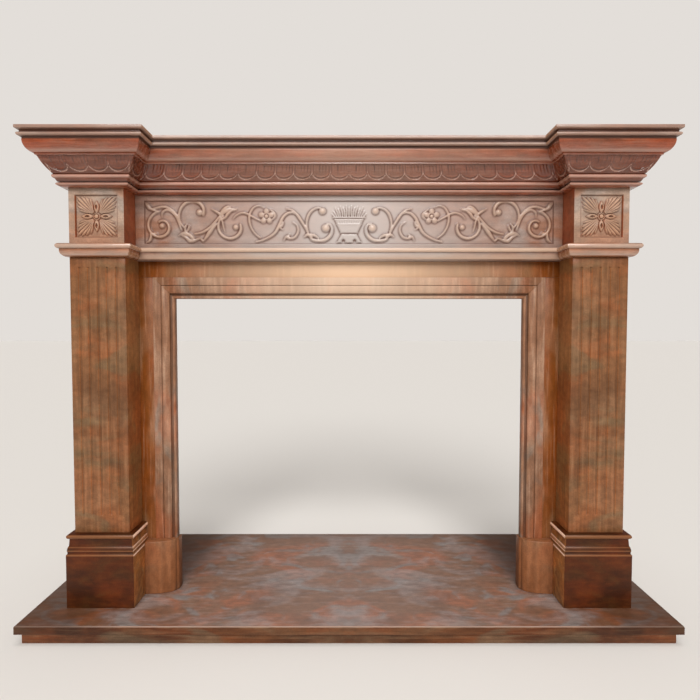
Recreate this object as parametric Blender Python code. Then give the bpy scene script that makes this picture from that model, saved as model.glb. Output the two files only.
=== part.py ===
"""Fireplace mantel in polished stone, standing on a two-step hearth.

The mantel is built in courses, the way a mason sets it: hearth base and slab, plinths and
foot blocks, fluted pilaster shafts with the flat slips and the moulded architrave between
them, the impost course, the frieze course with its carved panel, the bed moulding with its
leaf band, and the shelf. Metres, +Z up. The origin is under the middle of the hearth, the
front looks along -Y, and the flat back that meets the wall looks along +Y.
"""
import math

import bmesh
import bpy
from mathutils import Matrix, Vector

# Joint between two touching pieces
FIT_GAP = 0.0003

# Hearth
HEARTH_WIDTH = 1.886
HEARTH_DEPTH = 0.645
HEARTH_LEAD = 0.1115
HEARTH_SIDE_LEAD = 0.119
SLAB_THICKNESS = 0.0245
SLAB_EDGE_ROUND = 0.005
BASE_THICKNESS = 0.033
BASE_INSET = 0.014

# Plan of the mantel: distances back from the front of the pilasters
PILASTER_BACK = 0.160
FRIEZE_SETBACK = 0.077
SLIP_SETBACK = 0.092
SLIP_THICKNESS = 0.022
ARCHITRAVE_THICKNESS = 0.0255

# Pilasters
BLOCK_WIDTH = 0.162
SHAFT_WIDTH = 0.164
SHAFT_HEIGHT = 0.824
FLUTE_COUNT = 5
FLUTE_WIDTH = 0.0072
FLUTE_DEPTH = 0.0032
FLUTE_STOP_TOP = 0.028
FLUTE_STOP_BOTTOM = 0.052

# Plinth and its base moulding
PLINTH_PROJECTION = 0.019
PLINTH_DIE_HEIGHT = 0.160
PLINTH_FILLET = 0.006
PLINTH_FILLET_STEP = 0.003
BASE_MOULD_HEIGHT = 0.0615
BASE_TORUS_HEIGHT = 0.0145
BASE_SCOTIA_PROJECTION = 0.0115
BASE_SCOTIA_QUIRK = 0.003
BASE_OGEE_SEAT = 0.004
BASE_OGEE_SWELL = 0.0055
BASE_OGEE_RISE = 0.016
BASE_TORUS_STEP = 0.001
BASE_TOP_STEP = 0.002

# Foot block under the slip and the architrave leg
FOOT_HEIGHT = 0.166
FOOT_FRONT = 0.060
FOOT_BACK = 0.126
FOOT_BOW = 0.030
FOOT_CORNER_ROUND = 0.006
FOOT_REVEAL = 0.004

# Flat slips that show round the moulded frame of the fire opening, and the frame
SLIP_LEG_WIDTH = 0.0455
SLIP_HEAD_HEIGHT = 0.0499
ARCHITRAVE_WIDTH = 0.066
ARCHITRAVE_BAND = 0.024
ARCHITRAVE_STEP = 0.0035
ARCHITRAVE_QUIRK = 0.002
ARCHITRAVE_QUIRK_DEPTH = 0.0025
ARCHITRAVE_CYMA_SINK = 0.0015
ARCHITRAVE_CYMA_DEPTH = 0.0045
ARCHITRAVE_HOLLOW = 0.008
ARCHITRAVE_LIP = 0.008
ARCHITRAVE_LIP_DEPTH = 0.0075
ARCHITRAVE_ARRIS = 0.002

# Impost course
IMPOST_HEIGHT = 0.038
IMPOST_PROJECTION = 0.028
IMPOST_BEAD = 0.0155
IMPOST_NECK = 0.020
IMPOST_FOOT = 0.004
IMPOST_QUIRK = 0.005

# Frieze course
FRIEZE_HEIGHT = 0.1625
RAIL_TOP = 0.0175
RAIL_BOTTOM = 0.0155
STILE_WIDTH = 0.029
FIELD_SINK = 0.0055
FIELD_SPLAY = 0.003
SQUARE_SIZE = 0.126
SQUARE_SINK = 0.005

# Bed moulding, from the frieze up to the shelf
BED_HEIGHT = 0.1125
BED_BEAD_LOW = 0.013
BED_NECK = 0.0085
BED_BEAD_HIGH = 0.0115
BED_BAND_HEIGHT = 0.0435
BED_FILLET = 0.0045
BED_ROOT_PROJECTION = 0.006
BED_LOW_PROJECTION = 0.024
BED_LOW_STEP = 0.004
BED_HIGH_PROJECTION = 0.031
BED_HIGH_STEP = 0.006
BAND_FOOT_PROJECTION = 0.028
BAND_HEAD_PROJECTION = 0.056
OVOLO_FOOT_PROJECTION = 0.060
OVOLO_HEAD_PROJECTION = 0.0815
LEAF_PITCH = 0.0555
LEAF_RELIEF = 0.0045
LEAF_EDGE_SHARE = 0.25
LEAF_ROOT_SWELL = 1.3
LEAF_HEAD_LOSS = 0.5
SHORT_RUN_SHARE = 0.8
LEAF_SAMPLES = 5
LEAF_TIP = 0.08
LEAF_TIP_CURVE = 0.34
CORNER_LEAF = 0.008
BAND_LEVELS = 3
BAND_BULGE = 0.003

# Shelf
SHELF_HEIGHT = 0.034
SHELF_PROJECTION = 0.0945
SHELF_FILLET = 0.009
SHELF_GROOVE = 0.0085
SHELF_BEAD = 0.0105
SHELF_BEAD_PROJECTION = 0.0915
SHELF_GROOVE_PROJECTION = 0.085
SHELF_SEAT_STEP = 0.004
SHELF_QUIRK = 0.002
SHELF_ARRIS = 0.0015

# Carving on the frieze
RELIEF_HEIGHT = 0.0055
RELIEF_ROOT = 0.0015
ROOT_STEP = 0.000013
ROOT_LEVELS = 97
STEM_WIDTH = 0.0105
STEM_STEPS = 2
STEM_TIP_WIDTH = 0.005
STEM_SHOULDER = 0.62
STEM_SHOULDER_HEIGHT = 0.75
ROSETTE_RELIEF = 0.006
BOSS_CROWN = 0.55
SHOULDER_SHARE = 0.5
BLOCK_OUTLINE_CROWN = 0.93
PETAL_CROWN = 0.7
FLOWER_WAIST = 0.62
FLOWER_EYE = 0.3
CARVING_END_GAP = 0.0037
CARVING_FOOT_GAP = 0.00225
CROWN_SHARE = 0.25
CROWN_SHORT = 0.14
BLADE_STATIONS = ((0.12, 0.55), (0.45, 1.0), (0.80, 0.50))
ACANTHUS_STATIONS = ((0.20, 0.30), (0.34, 0.72), (0.42, 0.56), (0.60, 1.0), (0.68, 0.72), (0.84, 0.55))

# Levels that follow from the sizes above
SLAB_BOTTOM = BASE_THICKNESS + FIT_GAP
FLOOR = SLAB_BOTTOM + SLAB_THICKNESS
PLINTH_BOTTOM = FLOOR + FIT_GAP
SHAFT_BOTTOM = PLINTH_BOTTOM + PLINTH_DIE_HEIGHT + BASE_MOULD_HEIGHT + FIT_GAP
IMPOST_BOTTOM = SHAFT_BOTTOM + SHAFT_HEIGHT + FIT_GAP
FRIEZE_BOTTOM = IMPOST_BOTTOM + IMPOST_HEIGHT + FIT_GAP
BED_BOTTOM = FRIEZE_BOTTOM + FRIEZE_HEIGHT + FIT_GAP
SHELF_BOTTOM = BED_BOTTOM + BED_HEIGHT + FIT_GAP
OPENING_TOP = IMPOST_BOTTOM - SLIP_HEAD_HEIGHT - ARCHITRAVE_WIDTH

# Places that follow: the pilasters are set in from the hearth's front and side edges
PILASTER_CENTRE = HEARTH_WIDTH / 2 - HEARTH_SIDE_LEAD - BLOCK_WIDTH / 2
FACE_Y = HEARTH_LEAD - HEARTH_DEPTH / 2
WALL_Y = FACE_Y + PILASTER_BACK
FRIEZE_Y = FACE_Y + FRIEZE_SETBACK
SLIP_Y = FACE_Y + SLIP_SETBACK
BLOCK_OUTER = PILASTER_CENTRE + BLOCK_WIDTH / 2
BLOCK_INNER = PILASTER_CENTRE - BLOCK_WIDTH / 2
SHAFT_OUTER = PILASTER_CENTRE + SHAFT_WIDTH / 2
SHAFT_INNER = PILASTER_CENTRE - SHAFT_WIDTH / 2
OPENING_EDGE = SHAFT_INNER - SLIP_LEG_WIDTH - ARCHITRAVE_WIDTH

STONE_COLOURS = {
    "hearth": (0.150, 0.062, 0.034),
    "plinth": (0.165, 0.066, 0.032),
    "shaft": (0.300, 0.150, 0.088),
    "slip": (0.270, 0.120, 0.058),
    "architrave": (0.310, 0.150, 0.090),
    "frieze": (0.420, 0.250, 0.170),
    "bed": (0.300, 0.130, 0.082),
    "shelf": (0.320, 0.190, 0.150),
}


def clear_scene():
    """Remove every object that the file opened with."""
    for item in list(bpy.data.objects):
        bpy.data.objects.remove(item, do_unlink=True)


def polished_stone(name, kind):
    """Return a material in the stone's colour on that course."""
    material = bpy.data.materials.new(name)
    material.use_nodes = True
    shader = material.node_tree.nodes["Principled BSDF"]
    shader.inputs["Base Color"].default_value = (*STONE_COLOURS[kind], 1.0)
    shader.inputs["Roughness"].default_value = 0.32
    shader.inputs["Metallic"].default_value = 0.0
    return material


def finish_piece(name, bm, kind, smooth_angle=0.6):
    """Turn a bmesh into a named object with its own stone material."""
    bmesh.ops.recalc_face_normals(bm, faces=bm.faces[:])
    mesh = bpy.data.meshes.new(name)
    bm.to_mesh(mesh)
    bm.free()
    mesh.shade_smooth()
    mesh.set_sharp_from_angle(angle=smooth_angle)
    piece = bpy.data.objects.new(name, mesh)
    bpy.context.collection.objects.link(piece)
    mesh.materials.append(polished_stone(f"stone_{name}", kind))
    return piece


def guide(name, bm):
    """Make a hidden cutter or a carving blank that a Boolean reads."""
    bmesh.ops.recalc_face_normals(bm, faces=bm.faces[:])
    mesh = bpy.data.meshes.new(name)
    bm.to_mesh(mesh)
    bm.free()
    item = bpy.data.objects.new(name, mesh)
    bpy.context.collection.objects.link(item)
    item.hide_render = True
    item.display_type = "WIRE"
    return item


def boolean(piece, other, operation):
    """Cut a guide out of a piece, or carve it on, with the exact solver."""
    modifier = piece.modifiers.new(other.name, "BOOLEAN")
    modifier.operation = operation
    modifier.solver = "EXACT"
    modifier.use_self = operation == "UNION"
    modifier.object = other


def arc(centre, radii, start, stop, steps):
    """Return points on an ellipse quarter or half, as (projection, height)."""
    points = []
    for step in range(steps + 1):
        turn = math.radians(start + (stop - start) * step / steps)
        points.append((centre[0] + radii[0] * math.cos(turn), centre[1] + radii[1] * math.sin(turn)))
    return points


def bead(inner, tip, bottom, height, steps=4):
    """Return a half-round bead that swells from inner to tip."""
    return arc((inner, bottom + height / 2), (tip - inner, height / 2), -90, 90, steps)


def box_plan(left, right, front, back):
    """Return the plan of a block whose front and two sides take a moulding."""
    def plan(projection):
        return [(left - projection, back), (left - projection, front - projection),
                (right + projection, front - projection), (right + projection, back)]
    return plan


def plinth_plan(sign):
    """Return the plan of a plinth whose inner return stops against the face of the slip."""
    def plan(projection):
        inner = SHAFT_INNER - projection
        outer = SHAFT_OUTER + projection
        stop = SLIP_Y - FIT_GAP
        points = [(outer, WALL_Y), (outer, FACE_Y - projection), (inner, FACE_Y - projection),
                  (inner, stop), (SHAFT_INNER, stop), (SHAFT_INNER, WALL_Y)]
        return [(sign * x, y) for x, y in points]
    return plan


def fitted_plan(half, front, back):
    """Return the plan of a course held between two returns that swell towards it."""
    def plan(projection):
        reach = half - projection
        return [(-reach, back), (-reach, front - projection), (reach, front - projection), (reach, back)]
    return plan


def broken_plan(outer, inner, front, setback, back):
    """Return the plan of a course that breaks forward over both pilasters."""
    def plan(projection):
        near = front - projection
        far = front + setback - projection
        side = outer + projection
        turn = inner - projection
        return [(-side, back), (-side, near), (-turn, near), (-turn, far),
                (turn, far), (turn, near), (side, near), (side, back)]
    return plan


def ring_stack(bm, plan, profile):
    """Raise a stretch of moulding, one plan ring for each profile point, and return the rings."""
    rings = [[bm.verts.new((x, y, height)) for x, y in plan(projection)]
             for projection, height in profile]
    for lower, upper in zip(rings, rings[1:]):
        for index in range(len(lower)):
            after = (index + 1) % len(lower)
            bm.faces.new((lower[index], lower[after], upper[after], upper[index]))
    return rings


def course(name, kind, plan, profile):
    """Build one moulded course as a named piece."""
    bm = bmesh.new()
    rings = ring_stack(bm, plan, profile)
    bm.faces.new(rings[0])
    bm.faces.new(rings[-1])
    return finish_piece(name, bm, kind)


def block_mesh(left, right, front, back, bottom, top):
    """Return a bmesh box between the given faces."""
    bm = bmesh.new()
    bmesh.ops.create_cube(bm, size=1.0)
    bmesh.ops.scale(bm, vec=(right - left, back - front, top - bottom), verts=bm.verts)
    middle = ((left + right) / 2, (front + back) / 2, (bottom + top) / 2)
    bmesh.ops.translate(bm, vec=middle, verts=bm.verts)
    return bm


def round_edges(bm, edges, radius, segments):
    """Round the chosen edges by a radius."""
    bmesh.ops.bevel(bm, geom=edges, offset=radius, offset_type="OFFSET", affect="EDGES",
                    segments=segments, profile=0.5, material=-1)


def build_hearth():
    """Build the recessed base and the slab with its eased upper edge."""
    half_width = HEARTH_WIDTH / 2
    half_depth = HEARTH_DEPTH / 2
    bm = block_mesh(BASE_INSET - half_width, half_width - BASE_INSET, BASE_INSET - half_depth,
                    half_depth - BASE_INSET, 0.0, BASE_THICKNESS)
    finish_piece("hearth_base", bm, "hearth")
    bm = block_mesh(-half_width, half_width, -half_depth, half_depth, SLAB_BOTTOM, FLOOR)
    upper = [edge for edge in bm.edges
             if all(vert.co.z > SLAB_BOTTOM + SLAB_THICKNESS / 2 for vert in edge.verts)]
    round_edges(bm, upper, SLAB_EDGE_ROUND, 3)
    finish_piece("hearth_slab", bm, "hearth")


def plinth_profile():
    """Return the plinth die with the ogee, scotia and torus above it."""
    die_top = PLINTH_BOTTOM + PLINTH_DIE_HEIGHT
    top = die_top + BASE_MOULD_HEIGHT
    torus_bottom = top - BASE_TORUS_HEIGHT
    ogee_bottom = die_top + PLINTH_FILLET + BASE_OGEE_SEAT
    scotia_top = torus_bottom - BASE_SCOTIA_QUIRK
    step = PLINTH_PROJECTION - PLINTH_FILLET_STEP
    points = [(PLINTH_PROJECTION, PLINTH_BOTTOM), (PLINTH_PROJECTION, die_top)]
    points += [(step, die_top + PLINTH_FILLET_STEP), (step, ogee_bottom)]
    points += arc((BASE_SCOTIA_PROJECTION, ogee_bottom), (BASE_OGEE_SWELL, BASE_OGEE_RISE), 0, 70, 4)
    points += [(BASE_SCOTIA_PROJECTION, scotia_top), (BASE_SCOTIA_PROJECTION, torus_bottom)]
    tip = PLINTH_PROJECTION - BASE_TORUS_STEP
    points += bead(BASE_SCOTIA_PROJECTION, tip, torus_bottom, BASE_TORUS_HEIGHT, 5)[1:-1]
    points += [(BASE_SCOTIA_PROJECTION - BASE_TOP_STEP, top)]
    return points


def impost_profile():
    """Return the impost: a small ovolo, a neck and a bead under a flat top."""
    bead_bottom = IMPOST_BOTTOM + IMPOST_HEIGHT - IMPOST_BEAD
    neck_bottom = bead_bottom - IMPOST_QUIRK
    rise = neck_bottom - IMPOST_BOTTOM
    points = arc((IMPOST_FOOT, neck_bottom), (IMPOST_NECK - IMPOST_FOOT, rise), -90, 0, 5)
    points += [(IMPOST_NECK, bead_bottom)]
    points += bead(IMPOST_NECK, IMPOST_PROJECTION, bead_bottom, IMPOST_BEAD, 5)[1:]
    return points


def build_shaft(name, sign):
    """Build a pilaster shaft with its stopped flutes."""
    left = sign * PILASTER_CENTRE - SHAFT_WIDTH / 2
    top = SHAFT_BOTTOM + SHAFT_HEIGHT
    bm = block_mesh(left, left + SHAFT_WIDTH, FACE_Y, WALL_Y, SHAFT_BOTTOM, top)
    shaft = finish_piece(name, bm, "shaft")
    radius = (FLUTE_WIDTH ** 2 / 4 + FLUTE_DEPTH ** 2) / (2 * FLUTE_DEPTH)
    foot = SHAFT_BOTTOM + FLUTE_STOP_BOTTOM + radius
    head = top - FLUTE_STOP_TOP - radius
    cutter = bmesh.new()
    for index in range(FLUTE_COUNT):
        made = bmesh.ops.create_uvsphere(cutter, u_segments=8, v_segments=6, radius=radius)["verts"]
        rounded_head = [vert for vert in made if vert.co.z > 0]
        flat_foot = [vert for vert in made if vert.co.z <= 0]
        bmesh.ops.translate(cutter, vec=(0, 0, head), verts=rounded_head)
        bmesh.ops.translate(cutter, vec=(0, 0, foot), verts=flat_foot)
        place = left + SHAFT_WIDTH * (index + 1) / (FLUTE_COUNT + 1)
        bmesh.ops.translate(cutter, vec=(place, FACE_Y + FLUTE_DEPTH - radius, 0), verts=made)
    boolean(shaft, guide(f"flutes_{name}", cutter), "DIFFERENCE")


def build_foot(name, sign):
    """Build the bowed foot block between the plinth and the fire opening."""
    near = SHAFT_INNER - PLINTH_PROJECTION - FIT_GAP
    far = OPENING_EDGE - FOOT_REVEAL
    front = FACE_Y + FOOT_FRONT
    back = FACE_Y + FOOT_BACK
    turn = front + FOOT_BOW + FOOT_CORNER_ROUND
    rebate = SLIP_Y
    heel = SHAFT_INNER - FIT_GAP
    outline = [(far, back), (heel, back), (heel, rebate), (near, rebate)]
    outline += [(near - (near - far - FOOT_CORNER_ROUND) * math.sin(math.radians(angle)),
                 front + FOOT_BOW * (1 - math.cos(math.radians(angle)))) for angle in range(0, 91, 15)]
    outline += [(far, turn)]
    bm = bmesh.new()
    top = PLINTH_BOTTOM + FOOT_HEIGHT
    face = bm.faces.new([bm.verts.new((sign * x, y, PLINTH_BOTTOM)) for x, y in outline])
    raised = bmesh.ops.extrude_face_region(bm, geom=[face])["geom"]
    lifted = [item for item in raised if isinstance(item, bmesh.types.BMVert)]
    bmesh.ops.translate(bm, vec=(0, 0, top - PLINTH_BOTTOM), verts=lifted)
    finish_piece(name, bm, "plinth")


def build_slips():
    """Build the flat slips beside and over the architrave."""
    outer = SHAFT_INNER - FIT_GAP
    frame = OPENING_EDGE + ARCHITRAVE_WIDTH
    foot_top = PLINTH_BOTTOM + FOOT_HEIGHT + FIT_GAP
    head_bottom = OPENING_TOP + ARCHITRAVE_WIDTH + FIT_GAP
    head_top = IMPOST_BOTTOM - FIT_GAP
    back = SLIP_Y + SLIP_THICKNESS
    for name, sign in (("slip_left", -1), ("slip_right", 1)):
        edges = sorted((sign * outer, sign * (frame + FIT_GAP)))
        bm = block_mesh(edges[0], edges[1], SLIP_Y, back, foot_top, head_bottom - FIT_GAP)
        finish_piece(name, bm, "slip")
    finish_piece("slip_head", block_mesh(-outer, outer, SLIP_Y, back, head_bottom, head_top), "slip")


def architrave_section():
    """Return the frame's section as (distance in from its outer edge, depth from the front)."""
    cyma_start = ARCHITRAVE_BAND + ARCHITRAVE_QUIRK
    lip_start = ARCHITRAVE_WIDTH - ARCHITRAVE_LIP
    cyma_end = lip_start - ARCHITRAVE_HOLLOW
    centre = (cyma_start, ARCHITRAVE_CYMA_SINK + ARCHITRAVE_CYMA_DEPTH)
    points = [(0.0, 0.0), (ARCHITRAVE_BAND, 0.0), (cyma_start, ARCHITRAVE_QUIRK_DEPTH)]
    points += arc(centre, (cyma_end - cyma_start, ARCHITRAVE_CYMA_DEPTH), -90, 0, 4)
    points += [(lip_start, ARCHITRAVE_LIP_DEPTH),
               (ARCHITRAVE_WIDTH - ARCHITRAVE_ARRIS, ARCHITRAVE_LIP_DEPTH),
               (ARCHITRAVE_WIDTH, ARCHITRAVE_LIP_DEPTH + ARCHITRAVE_ARRIS)]
    return points


def build_architrave():
    """Build the moulded frame of the fire opening, mitred at its two upper corners."""
    front = SLIP_Y - ARCHITRAVE_STEP
    section = [(inset, front + depth) for inset, depth in architrave_section()]
    section += [(ARCHITRAVE_WIDTH, front + ARCHITRAVE_THICKNESS), (0.0, front + ARCHITRAVE_THICKNESS)]
    outer = OPENING_EDGE + ARCHITRAVE_WIDTH
    top = OPENING_TOP + ARCHITRAVE_WIDTH
    foot = PLINTH_BOTTOM + FOOT_HEIGHT + FIT_GAP
    for name, sign in (("architrave_left", -1), ("architrave_right", 1)):
        lower = [(sign * (outer - inset), y, foot) for inset, y in section]
        upper = [(sign * (outer - inset), y, top - inset - FIT_GAP) for inset, y in section]
        prism(name, lower, upper)
    left = [(-(outer - inset), y, top - inset) for inset, y in section]
    right = [(outer - inset, y, top - inset) for inset, y in section]
    prism("architrave_head", left, right)


def prism(name, first, last):
    """Join two matching outlines into one closed architrave piece."""
    bm = bmesh.new()
    start = [bm.verts.new(point) for point in first]
    end = [bm.verts.new(point) for point in last]
    for index in range(len(start)):
        after = (index + 1) % len(start)
        bm.faces.new((start[index], start[after], end[after], end[index]))
    bm.faces.new(start)
    bm.faces.new(end)
    finish_piece(name, bm, "architrave")


def relief_place(centre_x, centre_z, plane_y, across=1.0, up=1.0):
    """Return a matrix that lays carving drawn in a flat (u, v) plane on a front face."""
    return Matrix(((across, 0, 0, centre_x), (0, 0, -1, plane_y), (0, up, 0, centre_z), (0, 0, 0, 1)))


def root_depth(bm):
    """Return how deep the next carved shape is rooted, never level with another one's root."""
    return RELIEF_ROOT + ROOT_STEP * (len(bm.faces) % ROOT_LEVELS)


def add_raised(bm, place, outline, crown, height):
    """Carve one raised shape: a foot outline, a shoulder on it and a narrower crown."""
    levels = ((outline, -root_depth(bm)), (outline, height * SHOULDER_SHARE), (crown, height))
    rings = [[bm.verts.new(place @ Vector((u, v, level))) for u, v in ring] for ring, level in levels]
    for lower, upper in zip(rings, rings[1:]):
        for index in range(len(lower)):
            after = (index + 1) % len(lower)
            bm.faces.new((lower[index], lower[after], upper[after], upper[index]))
    bm.faces.new(rings[0])
    bm.faces.new(rings[-1])


def add_stem(bm, place, points, start_width, end_width, height):
    """Carve one stem: a ridge of five-sided section along a run of points."""
    rings = []
    root = root_depth(bm)
    last = len(points) - 1
    for index, (u, v) in enumerate(points):
        before = points[max(index - 1, 0)]
        after = points[min(index + 1, last)]
        along = Vector((after[0] - before[0], after[1] - before[1])).normalized()
        across = Vector((-along.y, along.x))
        half = (start_width + (end_width - start_width) * index / last) / 2
        shoulder = half * STEM_SHOULDER
        lift = height * STEM_SHOULDER_HEIGHT
        section = ((-half, -root), (half, -root), (shoulder, lift), (0.0, height), (-shoulder, lift))
        rings.append([bm.verts.new(place @ Vector((u + across.x * s, v + across.y * s, h)))
                      for s, h in section])
    for lower, upper in zip(rings, rings[1:]):
        for index in range(len(lower)):
            after = (index + 1) % len(lower)
            bm.faces.new((lower[index], lower[after], upper[after], upper[index]))
    bm.faces.new(rings[0])
    bm.faces.new(rings[-1])


def smooth_run(knots, steps):
    """Return points on a smooth curve through a few drawn points."""
    padded = [knots[0], *knots, knots[-1]]
    points = []
    for p0, p1, p2, p3 in zip(padded, padded[1:], padded[2:], padded[3:]):
        for step in range(steps):
            t = step / steps
            points.append(tuple(0.5 * (2 * b + (c - a) * t + (2 * a - 5 * b + 4 * c - d) * t * t
                                       + (3 * b - a - 3 * c + d) * t ** 3)
                                for a, b, c, d in zip(p0, p1, p2, p3)))
    points.append(knots[-1])
    return points


def volute(centre, start_radius, end_radius, start_angle, sweep, steps):
    """Return points on a spiral that closes from its start radius to its end radius."""
    points = []
    for step in range(steps + 1):
        share = step / steps
        turn = math.radians(start_angle + sweep * share)
        radius = start_radius + (end_radius - start_radius) * share
        points.append((centre[0] + radius * math.cos(turn), centre[1] + radius * math.sin(turn)))
    return points


def disc(centre, radius, sides):
    """Return a round outline."""
    return [(centre[0] + radius * math.cos(math.tau * k / sides),
             centre[1] + radius * math.sin(math.tau * k / sides)) for k in range(sides)]


def leaf_outline(base, tip, width, stations, narrow=1.0, short=0.0):
    """Return a leaf outline from its base to its tip, through half-widths at stations along it."""
    start = Vector(base)
    run = Vector(tip) - start
    across = Vector((-run.y, run.x)).normalized() * width / 2 * narrow
    places = [start + run * (short + t * (1 - 2 * short)) for t, share in stations]
    left = [place + across * share for place, (t, share) in zip(places, stations)]
    right = [place - across * share for place, (t, share) in zip(places, stations)]
    ends = (start + run * short, start + run * (1 - short))
    return [tuple(point) for point in [ends[0], *right, ends[1], *reversed(left)]]


def add_leaf(bm, place, base, tip, width, height, stations=BLADE_STATIONS):
    """Carve one leaf: its outline at the foot, narrowing to a ridge along its middle."""
    outline = leaf_outline(base, tip, width, stations)
    crown = leaf_outline(base, tip, width, stations, CROWN_SHARE, CROWN_SHORT)
    add_raised(bm, place, outline, crown, height)


def add_round(bm, place, centre, radius, sides, height):
    """Carve one round boss."""
    add_raised(bm, place, disc(centre, radius, sides), disc(centre, radius * BOSS_CROWN, sides), height)


def shrink(outline, share):
    """Return an outline drawn in towards its middle."""
    middle = [sum(values) / len(outline) for values in zip(*outline)]
    return [tuple(m + (value - m) * share for m, value in zip(middle, point)) for point in outline]


def petal_ring(centre, inner, outer, petals, turn=90.0):
    """Return the outline of a flower with rounded petals."""
    points = []
    for index in range(petals * 4):
        angle = math.radians(turn + 360.0 * index / (petals * 4))
        radius = (outer, outer * 0.93, inner, outer * 0.93)[index % 4]
        points.append((centre[0] + radius * math.cos(angle), centre[1] + radius * math.sin(angle)))
    return points


# Scrolls of one half of the frieze, drawn from its middle outwards in metres.
# Each spiral: centre, start radius, end radius, start angle, sweep, steps.
VOLUTES = (
    ((0.583, -0.012), 0.046, 0.015, 80, -375, 12),
    ((0.477, 0.028), 0.056, 0.025, -52, 242, 8),
    ((0.366, -0.014), 0.042, 0.030, 55, -250, 8),
    ((0.094, 0.004), 0.044, 0.036, -45, 145, 5),
    ((0.082, -0.023), 0.034, 0.026, -165, 195, 6),
)
# Each stem: the drawn points that its curve passes through.
STEMS = (
    ((0.582, 0.022), (0.566, 0.045), (0.545, 0.037), (0.515, 0.006)),
    ((0.482, -0.033), (0.446, -0.025), (0.420, -0.006), (0.398, 0.024)),
    ((0.347, 0.012), (0.335, 0.028), (0.311, 0.028), (0.277, 0.014)),
    ((0.266, 0.050), (0.290, 0.052), (0.308, 0.016), (0.296, -0.022), (0.276, -0.044)),
    ((0.286, -0.058), (0.243, -0.046), (0.216, -0.004), (0.196, 0.026), (0.170, 0.036)),
    ((0.176, 0.036), (0.150, 0.018), (0.128, -0.028)),
    ((0.170, 0.003), (0.160, -0.016), (0.166, -0.038), (0.200, -0.052)),
)
# Each ball at a scroll's eye: centre and radius.
BALLS = (
    ((0.580, -0.010), 0.0085), ((0.463, 0.029), 0.0105), ((0.351, -0.016), 0.0095),
    ((0.081, 0.034), 0.0115), ((0.072, -0.016), 0.0125),
)
# Each leaf: base, tip and width.
LEAVES = (
    ((0.588, 0.034), (0.624, 0.060), 0.016), ((0.612, -0.042), (0.625, -0.060), 0.012),
    ((0.560, 0.042), (0.590, 0.054), 0.013), ((0.458, -0.044), (0.528, -0.038), 0.026),
    ((0.500, -0.026), (0.508, 0.000), 0.014), ((0.412, 0.002), (0.452, -0.057), 0.018),
    ((0.398, 0.020), (0.348, 0.041), 0.026), ((0.400, 0.024), (0.424, 0.044), 0.014),
    ((0.196, 0.024), (0.187, 0.050), 0.013), ((0.126, -0.024), (0.140, -0.048), 0.018),
    ((0.170, -0.030), (0.190, -0.036), 0.012),
)
FLOWER_CENTRE = (0.256, 0.019)
FLOWER_RADIUS = 0.024
# The basket: the outline and the relative height of its bowl, rim, waist and arched foot.
BASKET_OUTLINES = (
    (((-0.028, -0.028), (0.028, -0.028), (0.041, -0.006), (0.047, 0.012), (-0.047, 0.012),
      (-0.041, -0.006)), 1.0),
    (((-0.050, 0.011), (0.050, 0.011), (0.050, 0.018), (-0.050, 0.018)), 1.15),
    (((-0.020, -0.041), (0.020, -0.041), (0.024, -0.027), (-0.024, -0.027)), 0.85),
    (((-0.042, -0.0625), (-0.024, -0.0625), (-0.020, -0.052), (-0.012, -0.052), (-0.008, -0.0625),
      (0.008, -0.0625), (0.012, -0.052), (0.020, -0.052), (0.024, -0.0625), (0.042, -0.0625),
      (0.038, -0.040), (-0.038, -0.040)), 0.95),
)
# Leaves and flowers that stand in the basket: base and tip.
BASKET_LEAVES = (
    ((0.0136, 0.010), (0.0227, 0.0503)), ((-0.0136, 0.010), (-0.0227, 0.0503)),
    ((0.0223, 0.010), (0.0372, 0.0427)), ((-0.0223, 0.010), (-0.0372, 0.0427)),
    ((0.0267, 0.010), (0.0446, 0.0353)), ((-0.0267, 0.010), (-0.0446, 0.0353)),
    ((0.0, 0.010), (0.0, 0.0540)),
)
BASKET_LEAF_WIDTH = 0.015
LEAF_HEIGHT_SHARE = 0.84
OVERLAP_STEP = 0.01
STEM_HEIGHT_SHARE = 0.93
BALL_HEIGHT_SHARE = 1.05
BLADE_HEIGHT_SHARE = 0.87
PETAL_HEIGHT_SHARE = 0.8
EYE_HEIGHT_SHARE = 1.1
# The rosette's two leaf kinds: first angle, start and end as shares of the reach, width,
# stations and height.
ROSETTE_LEAVES = (
    (45, 0.14, 1.30, 0.80, ACANTHUS_STATIONS, 0.80),
    (0, 0.12, 0.94, 0.30, BLADE_STATIONS, 1.0),
)
ROSETTE_BOSS = 0.20
ROSETTE_BOSS_HEIGHT = 1.2


def carve_basket(bm, place):
    """Carve the flower basket at the middle of the frieze."""
    for outline, height in BASKET_OUTLINES:
        add_raised(bm, place, outline, shrink(outline, BLOCK_OUTLINE_CROWN), RELIEF_HEIGHT * height)
    for index, (base, tip) in enumerate(BASKET_LEAVES):
        raised = RELIEF_HEIGHT * (LEAF_HEIGHT_SHARE + index * OVERLAP_STEP)
        add_leaf(bm, place, base, tip, BASKET_LEAF_WIDTH, raised)


def drawing_reach():
    """Return how far the drawn carving reaches sideways and down from its middle."""
    side = max(centre[0] + radius for centre, radius, *_ in VOLUTES)
    foot = max(-v for outline, _ in BASKET_OUTLINES for _, v in outline)
    return side, foot


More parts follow.
